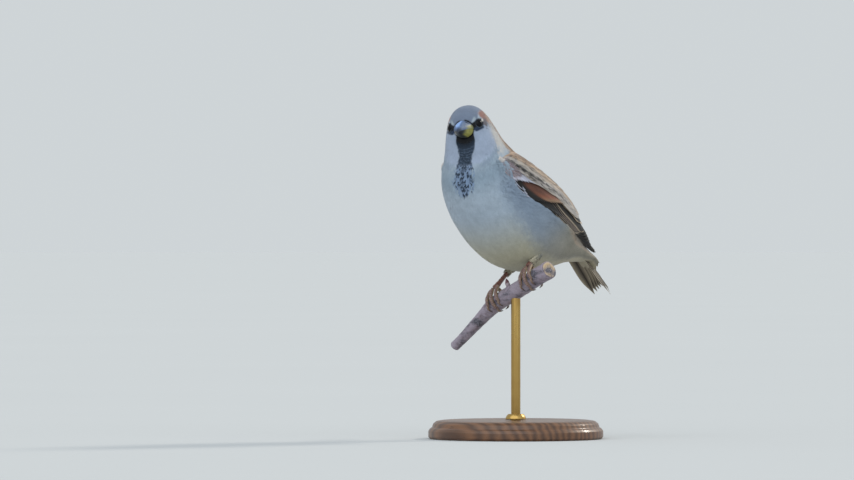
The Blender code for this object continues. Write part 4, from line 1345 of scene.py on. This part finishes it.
def scapulars(surface, rng):
    """Pale feathers, brown towards the back, the lower ones with black hearts."""
    picks = scattered(640)
    row, share = 0.35 + 3.7 * picks[:, 0], -0.22 + 0.94 * picks[:, 1]
    rows = [0.0, 0.6, 1.0, 1.6, 2.0, 2.6, 3.2, 4.0]
    edge = np.interp(row, rows, [0.3, 0.58, 0.66, 0.68, 0.65, 0.6, 0.58, 0.57])
    keep = (share < edge) & (share > -0.22 + 0.4 * smooth(1.2, 0.3, row))
    row, share, edge = row[keep], share[keep], edge[keep]
    count = len(row)
    length = 0.85 + 0.3 * row + 0.15 * rng.random(count)
    aside, high, wide = rng.standard_normal((count, 3)).T
    laid = quills(
        surface, pairs(row - 0.3, share), pairs(row - 0.3 + length, share + 0.012 * aside + 0.04),
        1.35 + 0.2 * row + 0.1 * wide, pairs(-0.6 + 0.04 * high, 0.42 + 0.04 * high), tilt=-0.05, **SCAPULAR,
    )
    u, v = laid[3:5]
    chance = rng.random((count, 3))
    reach = 0.36 * smooth(2.3, 1.0, row)
    base = layered(
        SCAPULAR_PALE,
        (EDGE_BUFF, 0.35 * chance[:, 0]),
        (SCAPULAR_TAN, 1 - smooth(0.34, 0.52, share + 0.1 * chance[:, 1])),
        (MANTLE_BROWN, 0.85 * (1 - smooth(-0.08, 0.16, share - reach))),
        (WING_CHESTNUT, 0.35 * chance[:, 1] * smooth(0.2, -0.1, share)),
    )
    lowest = smooth(0.17, 0.1, edge - share) * smooth(0.7, 1.0, row) * smooth(0.15, 0.4, chance[:, 2])
    lowest = lowest * (1 - 0.6 * smooth(2.6, 3.4, row))
    streaky = np.maximum(smooth(0.6, 0.75, chance[:, 2] + 0.3 * smooth(0.15, -0.1, share)), lowest)
    wide = 0.2 + 0.3 * lowest[:, None, None]
    streak = streaky[:, None, None] * smooth(0.35, 0.55, v) * (1 - smooth(wide, wide + 0.2, np.abs(u + 0.12)))
    streak = streak * (1 - 0.8 * smooth(0.92, 1.0, v))
    fringe = 0.3 * smooth(0.72, 0.95, np.abs(u)) * (1 - streak)
    colour = layered(base[:, None, None], (STREAK_BLACK, 0.92 * streak), (EDGE_BUFF * 1.1, fringe))
    yield laid, black_line(colour * varied(rng, count, 0.1)[:, None, None, None], laid)
    # The lowest scapulars have black hearts, which make a broken line over the bar.
    count = 17
    along = fan(1.0, 4.5, count) + 0.04 * rng.standard_normal(count)
    line = np.interp(along, [1.0, 1.4, 2.0, 2.7, 3.1, 4.5], [0.72, 0.7, 0.665, 0.615, 0.6, 0.57])
    line = line + 0.012 * rng.standard_normal(count)
    laid = quills(
        surface, pairs(along - 0.55, line - 0.05), pairs(along + 0.1, line), fan(0.95, 1.2, count),
        fan((-0.3, 0.56), (-0.3, 0.56), count), tilt=0.0, **SCAPULAR,
    )
    strength = np.interp(along, [1.0, 1.3, 3.1, 3.5, 4.5], [0.6, 1, 1, 0.55, 0.5])
    strength = strength * (0.8 + 0.2 * rng.random(count))
    u, v = laid[3:5]
    heart = (1 - smooth(0.45, 0.75, np.abs(u + 0.1))) * smooth(0.2, 0.4, v) * (1 - 0.7 * smooth(0.9, 1.0, v))
    colour = mixed(SCAPULAR_PALE * 0.95, STREAK_BLACK * 0.8, heart * strength[:, None, None])
    yield laid, black_line(colour, laid)


def flank_lap(side, rng):
    """Breast and flank feathers that lap over the wing's front and low edge, and their roots' places."""
    count = 620
    picks = scattered(count) + 0.018 * rng.standard_normal((count, 3))
    tip_s = 6.3 + 7.1 * np.clip(picks[:, 0], 0, 1)
    below = 20 * np.clip(picks[:, 1], 0, 1) ** 1.2
    longer, lower, wider = rng.standard_normal((count, 3)).T
    length = feather_length(tip_s, 100.0) * (0.85 + 0.1 * longer)
    root_s = tip_s - length / 8.0
    tip_deg = np.interp(tip_s, *LAP_EDGE) + below + 0.8 * lower
    root_theta = side * np.radians(np.interp(root_s, *LAP_EDGE) + below + 5)
    laid = quills(
        over_wing, pairs(root_s, root_theta), pairs(tip_s, side * np.radians(tip_deg)),
        length * (0.25 + 0.02 * wider), pairs(-1.1, 0.42 - 0.3 * below / 20),
        teeth=TIP_TEETH, tilt=0.0, **SMALL,
    )
    colour = coat_paint(laid, rng.random((count, 3)))
    tuft = 1 - smooth(0.6, 1.2, np.hypot((tip_s - 6.45) / 0.32, (np.abs(tip_deg) - 96) / 6))
    colour = mixed(colour, SPOT_WHITE, tuft[:, None, None] * smooth(0.3, 0.7, laid[4]))
    return laid, colour * varied(rng, count, 0.04)[:, None, None, None], unwrap(root_s, root_theta)


def make_wing(name, side, finish, flight_finish, body_finish):
    """The folded wing in layers, from the primaries out to the scapulars, and the flank's lap over it."""
    rng = np.random.default_rng(7)
    surface = wing(side)
    sections, tops, lows, _ = np.array(WING_ROWS, float).T
    for label, layer, look, slot, soft in (
        ("primary_quills", primary_quills, flight_finish, "flight_feathers", 0.0),
        ("secondary_quills", secondary_quills, flight_finish, "flight_feathers", 0.0),
        ("greater_coverts", greater_coverts, finish, "brown_plumage", 0.25),
        ("lesser_coverts", lesser_coverts, finish, "brown_plumage", 0.45),
        ("scapulars", scapulars, finish, "brown_plumage", 0.4),
    ):
        sets, colours = zip(*layer(surface, rng))
        laid = [np.concatenate(values) for values in zip(*sets)]
        s = np.interp(laid[1][:, 0, 0], np.arange(len(sections)), sections)
        top, low = np.interp(s, sections, tops), np.interp(s, sections, lows)
        roots = unwrap(s, side * np.radians(top + (low - top) * laid[2][:, 0, 0]))
        piece = put_vanes(f"wing_{name}_{label}", laid, roots, np.concatenate(colours), look, slot, soft)
    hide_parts(f"wing_{name}_coverts", f"wing_{name}_secondaries", f"wing_{name}_primaries")
    laid, colour, roots = flank_lap(side, rng)
    put_vanes(f"wing_{name}_flank_lap", laid, roots, colour, body_finish, "grey_plumage", COAT_SOFTNESS)


def make_tail(flight_finish):
    """Twelve tail feathers on one line behind the coverts, the middle pair on top."""
    centre = body(COVERTS_END, turns(48)).mean(axis=0)
    tip = TAIL_TIP + BELLY_POINT
    along = unit(tip - centre)
    up = np.array([0.0, -along[2], along[1]])
    whole = np.linalg.norm(tip - centre)

    def surface(a, b, height):
        a, b, height = np.broadcast_arrays(a, b, height)
        rise = height - 0.12 * b * b
        return centre + (a * whole)[..., None] * along + b[..., None] * [1.0, 0.0, 0.0] + rise[..., None] * up

    place = np.array([-1, -0.8, -0.62, -0.44, -0.27, -0.1, 0.1, 0.27, 0.44, 0.62, 0.8, 1.0])
    near = 1 - np.abs(place)
    height = 0.5 * near - 0.4
    laid = quills(
        surface, pairs(-0.75, place * 3.2), pairs(1.0 - 2.5 * near / whole, place * 5.6), np.full(12, 2.7),
        pairs(height * 2.2 + 0.4, height * 1.3),
        rows=20, teeth=0.012, tilt=-0.1 * np.sign(place)[:, None, None],
    )
    colour = edged(laid, TAIL_BROWN, EDGE_BUFF * 0.8, 0.1, 0.1, 0.03, np.linspace(0.95, 1.05, 12))
    roots = unwrap(np.full(12, 16.6), place)
    tail = put_vanes("tail_quills", laid, roots, colour, flight_finish, "flight_feathers")
    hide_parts("tail")


# ---------------------------------------------------------------- branch and stand

def bark_finish():
    """Smooth bark: dark blotches drawn out along it and fine pale flecks over its paint."""
    made, tree, shader = principled("smooth_lilac_bark", 0.62, specular=0.35)
    blotch = noise(tree, 190.0, 5.0, place_on(tree, (0.5, 1.0, 1.4)))
    fine = noise(tree, 1500.0, 5.0)
    shaded = blended(tree, spread(tree, blotch, 0.5, 0.64), painted(tree), BARK_BLOTCH)
    flecked = blended(tree, spread(tree, fine, 0.45, 0.75, 0.0, 0.5), shaded, BARK_FLECK)
    tree.links.new(flecked, shader.inputs["Base Color"])
    bumped(tree, shader, summed(tree, (blotch, 1.5), (fine, 0.5)), 0.0003)
    return made


def wood_finish():
    """Turned walnut: growth rings cut through by the lathe, fine pores and a satin oil."""
    made, tree, shader = principled("oiled_walnut", 0.42, coat_weight=0.15)
    stretched = place_on(tree, (1.0, 9.0, 9.0))
    warp = noise(tree, 6.0, 3.0, stretched)
    rings = add_node(
        tree, "ShaderNodeTexWave",
        {"Vector": stretched, "Scale": 10.0, "Distortion": 5.0, "Detail": 3.0, "Detail Scale": 1.2},
        bands_direction="Y",
    ).outputs["Fac"]
    pores = noise(tree, 160.0, 6.0, stretched)
    walnut = blended(tree, rings, ink(84, 56, 38), ink(128, 88, 58))
    walnut = blended(tree, maths(tree, "MULTIPLY", warp, 0.5), walnut, ink(62, 40, 28))
    walnut = blended(tree, spread(tree, pores, 0.62, 0.72, 0.0, 0.6), walnut, ink(40, 25, 18))
    tree.links.new(walnut, shader.inputs["Base Color"])
    bumped(tree, shader, pores, 0.00008)
    return made


def brass_finish():
    """Satin brass: fine turning lines round it, and a light tarnish in patches."""
    made, tree, shader = principled("satin_brass", 0.28, metallic=1.0)
    lines = noise(tree, 1.0, 3.0, place_on(tree, (60.0, 60.0, 6000.0)))
    patches = noise(tree, 130.0, 4.0)
    tree.links.new(blended(tree, patches, ink(196, 164, 96), ink(160, 126, 74)), shader.inputs["Base Color"])
    tree.links.new(spread(tree, patches, 0.3, 0.7, 0.22, 0.4), shader.inputs["Roughness"])
    bumped(tree, shader, lines, 0.00001)
    return made


def lathe(name, profile, finish, slot, steps=144, soft=0.35):
    """A closed profile of (radius, height) turned about the rod's axis, with its corners rounded."""
    profile = np.array(profile, float)
    if profile[0, 0] > 0 and np.any(profile[0] != profile[-1]):
        profile = np.vstack([profile, profile[:1]])
    corners = []
    for before, here, after in zip(profile[:-2], profile[1:-1], profile[2:]):
        back, ahead = before - here, after - here
        cut = min(soft, 0.4 * np.linalg.norm(back), 0.4 * np.linalg.norm(ahead))
        a, b = here + unit(back) * cut, here + unit(ahead) * cut
        t = np.linspace(0, 1, 5)[:, None]
        corners.append((1 - t) ** 2 * a + 2 * t * (1 - t) * here + t**2 * b)
    line = np.vstack([profile[:1], *corners, profile[-1:]])
    angles = turns(steps)
    rings = np.stack(
        [line[:, :1] * np.cos(angles), line[:, :1] * np.sin(angles), line[:, 1:] + 0 * angles], axis=-1
    )
    if profile[0, 0] == 0:
        points, faces = capped(rings[1:-1])
    else:
        points, faces = rings[:-1].reshape(-1, 3), [grid_faces(len(rings) - 1, steps, looped=True)]
    piece = put_mesh(name + "_turned", points, faces, finish, slot, sharp=40)
    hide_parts(name)


def bark_relief(share, angles):
    """The branch's low swellings, its knots where shoots were, and the edges of its cut ends."""
    waves = 0.03 * np.sin(17 * share + 2 * angles) * np.sin(3 * angles + 9 * share)
    waves = waves + 0.02 * np.sin(61 * share + np.sin(2 * angles + 3) * 2) * np.cos(angles * 2 + 31 * share)
    waves = waves + 0.012 * np.sin(160 * share) * np.sin(5 * angles + 40 * share)
    knot = 0.0
    for place, turn, size in ((0.17, 2.4, 0.16), (0.42, -0.9, 0.12), (0.9, 0.4, 0.14)):
        knot = knot + size * np.exp(-(((share - place) / 0.018) ** 2) - ((1 - np.cos(angles - turn)) / 0.12))
    return waves + knot - 0.06 * (1 - smooth(0, 0.006, share)) - 0.06 * smooth(0.994, 1, share)


def bud_relief(share, angles):
    """The bud's overlapping scales."""
    return 0.06 * np.sin(3 * angles + 14 * share) * (share < 0.98)


def make_perch(finish):
    """The branch: a tube along its line, with a bud, and ends cut clean across."""
    rows = spline(BRANCH_ROWS, np.linspace(0, len(BRANCH_ROWS) - 1, 220))
    path = np.stack([rows[:, 0], 0 * rows[:, 0], rows[:, 1]], axis=-1)
    sides = 96
    rings = tube_rings(path, rows[:, 2], [0.0, 0.0, 1.0], sides, bark_relief)
    high = bark_relief(np.linspace(0, 1, len(path))[:, None], turns(sides))
    # Painted shade: the bark darker in the relief's hollows and on the sunken rims of the cut ends.
    bark = mixed(BARK, BARK_HOLLOW_SHADE, smooth(0.0, 0.05, -high))
    # The cut ends: sunken rings of growth round a dark pith.
    ends = [0.86, 0.6, 0.34, 0.12]
    branch = capped(np.concatenate([drawn_in(rings[0], ends[::-1]), rings, drawn_in(rings[-1], ends)]))
    wood = np.repeat(CUT_WOOD, sides, axis=0)
    centre, along, up, thick = branch_at(-3.0)
    forward = np.array([0.0, -1.0, 0.0])
    out = up * math.cos(0.25) + forward * math.sin(0.25)
    t = np.linspace(0, 1, 26)
    stem = centre + out * (thick - 0.8) + (out * 4.4 + along * 1.2) * t[:, None]
    swell = 1.35 * np.sin(math.pi * np.clip(t * 0.86 + 0.1, 0, 1)) ** 0.8 * (1 - 0.35 * t)
    bud = capped(tube_rings(stem, swell, forward, 32, bud_relief))
    bud_paint = mixed(BUD, BUD_TIP, smooth(0.45, 0.7, np.append(np.repeat(t, 32), [0, 1])))
    colour = np.concatenate([wood[::-1], bark.reshape(-1, 3), wood, [PITH, PITH], bud_paint])
    points, faces = joined([branch, bud])
    perch = put_mesh("perch_bark", points, faces, finish, "bark", colour, sharp=50)
    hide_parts("perch")


def make_stand():
    """The branch, and the turned base, rod and collar that carry it."""
    wood, brass = wood_finish(), brass_finish()
    make_perch(bark_finish())
    hole, shoulder = ROD_RADIUS + GAP, BASE_RADIUS - 4.0
    base = [
        (0.0, ROD_FOOT), (hole, ROD_FOOT), (hole, BASE_HEIGHT), (shoulder - 3.0, BASE_HEIGHT),
        (shoulder, BASE_HEIGHT - 0.4), (shoulder + 1.6, BASE_HEIGHT - 1.6),
        (shoulder + 2.2, BASE_HEIGHT - 3.4), (BASE_RADIUS - 0.8, BASE_HEIGHT - 4.0),
        (BASE_RADIUS, BASE_HEIGHT - 5.2), (BASE_RADIUS, 1.0), (BASE_RADIUS - 1.0, 0.0), (0.0, 0.0),
    ]
    lathe("stand_base", base, wood, "stand_wood")
    foot = ROD_FOOT + GAP
    rod = [(0.0, ROD_TOP), (ROD_RADIUS, ROD_TOP), (ROD_RADIUS, foot), (0.0, foot)]
    lathe("stand_rod", rod, brass, "stand_brass", 64)
    low = BASE_HEIGHT + GAP
    collar = [
        (hole, low + COLLAR_HEIGHT), (hole + 1.2, low + COLLAR_HEIGHT),
        (COLLAR_RADIUS - 0.4, low + COLLAR_HEIGHT * 0.6), (COLLAR_RADIUS, low + 0.6),
        (COLLAR_RADIUS, low), (hole, low),
    ]
    lathe("stand_collar", collar, brass, "stand_brass", 96, 0.2)


# ---------------------------------------------------------------- camera, floor and light

# How far the camera stands off, what it sees across, and how far round it stands, in mm and degrees.
CAMERA_DISTANCE, VIEW_WIDTH, CAMERA_TURN = 3000.0, 410.576923, 48


def make_studio():
    """A pale floor, a level camera at the bird's left front, soft cool light from the front and above,
    a warm light behind at the right, and a weak cool fill from the right front."""
    scene = bpy.context.scene
    scene.view_settings.view_transform = "Standard"
    turn = math.radians(CAMERA_TURN)
    right = np.array([math.cos(turn), math.sin(turn), 0.0])
    back = np.array([math.sin(turn), -math.cos(turn), 0.0])
    aim = BELLY_POINT - 40.4 * right + np.array([0.0, 0.0, 15.4])
    camera = bpy.data.objects.new("camera", bpy.data.cameras.new("camera"))
    scene.collection.objects.link(camera)
    camera.data.sensor_width = 36.0  # mm
    camera.data.lens = camera.data.sensor_width * CAMERA_DISTANCE / VIEW_WIDTH
    camera.data.clip_end = 50.0
    camera.location = (aim + CAMERA_DISTANCE * back) * MM
    camera.rotation_euler = (math.pi / 2, 0.0, turn)
    scene.camera = camera

    floor_mesh = bpy.data.meshes.new("floor")
    floor_mesh.from_pydata([(-60, -60, 0), (60, -60, 0), (60, 60, 0), (-60, 60, 0)], [], [(0, 1, 2, 3)])
    floor = bpy.data.objects.new("floor", floor_mesh)
    scene.collection.objects.link(floor)
    made, tree, shader = principled("pale_floor", 0.9, specular=0.0)
    grain = blended(tree, noise(tree, 3.0), (0.535, 0.552, 0.563), (0.55, 0.567, 0.578))
    tree.links.new(grain, shader.inputs["Base Color"])
    floor_mesh.materials.append(made)
    floor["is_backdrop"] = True

    world = bpy.data.worlds.new("studio")
    world.use_nodes = True
    world.node_tree.nodes["Background"].inputs["Color"].default_value = (0.62, 0.66, 0.68, 1.0)
    world.node_tree.nodes["Background"].inputs["Strength"].default_value = 1.0
    scene.world = world

    def sun(name, towards, strength, spread, colour):
        """A far lamp seen from the bird in a direction given as right, nearer and up."""
        data = bpy.data.lights.new(name, "SUN")
        data.energy, data.angle, data.color = strength, math.radians(spread), colour
        lamp = bpy.data.objects.new(name, data)
        scene.collection.objects.link(lamp)
        ray = unit(towards[0] * right + towards[1] * back + np.array([0, 0, towards[2]]))
        lamp.rotation_euler = (math.acos(ray[2]), 0.0, math.atan2(ray[1], ray[0]) + math.pi / 2)

    sun("key", (-0.35, 0.75, 0.8), 1.3, 75, (0.93, 0.97, 1.0))
    sun("rim", (0.75, -0.55, 0.6), 1.3, 10, (1.0, 0.93, 0.82))
    sun("fill", (0.55, 0.7, 0.45), 0.3, 60, (0.9, 0.96, 1.0))


# ---------------------------------------------------------------- making it

make_studio()
soft_look = feather_finish("soft_body_feathers", 0.8, 0.15)
covert_look = feather_finish("wing_covert_vanes", 0.62, 0.2, barb=0.35, mottle=0.12)
flight_look = feather_finish("flight_feather_vanes", 0.55, 0.04, barb=0.4, depth=0.00004, mottle=0.1)
make_skin()
for region in (
    ("face_feathers", (-0.2, 2.5), (0, 180), 0.22, 11),
    ("head_feathers", (2.4, 4.7), (0, 180), 0.19, 12),
    ("neck_feathers", (4.6, 6.4), (0, 180), 0.17, 16),
    ("breast_feathers", (6.2, 8.9), (60, 180), 0.15, 13),
    ("flank_feathers", (8.8, 11.4), (60, 180), 0.15, 17),
    ("belly_feathers", (11.2, 13.8), (60, 180), 0.145, 14),
    ("vent_feathers", (13.6, 16.0), (60, 180), 0.17, 18),
    ("mantle_feathers", (6.2, 16.0), (0, 72), 0.18, 15),
):
    body_feathers(*region, soft_look)
for foot in FEET:
    thigh_feathers(foot, soft_look)
for wing_name, wing_side in (("left", 1), ("right", -1)):
    make_wing(wing_name, wing_side, covert_look, flight_look, soft_look)
make_tail(flight_look)
for half, profile, way, slot in (("upper", CULMEN, 1, "bill_horn"), ("lower", GONYS, -1, "lower_bill_horn")):
    horn_look = painted_finish(half + "_bill_horn", 0.5, 900.0, 0.00005, specular=0.3)
    make_mandible(f"bill_{half}_horn", profile, way, horn_look, slot)
# A wet eye, very smooth over the paint of pupil and iris.
eye_look = painted_finish("wet_eye", 0.05, 3000.0, 0.000001, mottle=0.1, specular=0.13)
lid_look = painted_finish("eyelid_skin", 0.7, 4000.0, 0.00005, specular=0.2)
for eye_name, (eye_centre, eye_axis) in zip(("left", "right"), EYES):
    make_eye(eye_name, eye_centre, eye_axis, eye_look, lid_look)
leg_look = painted_finish("leg_scutes", 0.45, 1800.0, 0.00006, mottle=0.2)
claw_look = painted_finish("claw_horn", 0.3, 1500.0, 0.00003, 0.1, mottle=0.2)
for foot in FEET:
    make_leg(foot, leg_look, claw_look)
make_stand()

boxes = {"cad": CAD_BOX, "visual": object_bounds()}
{key: np.array([list(corner) for corner in box]).tolist() for key, box in boxes.items()}
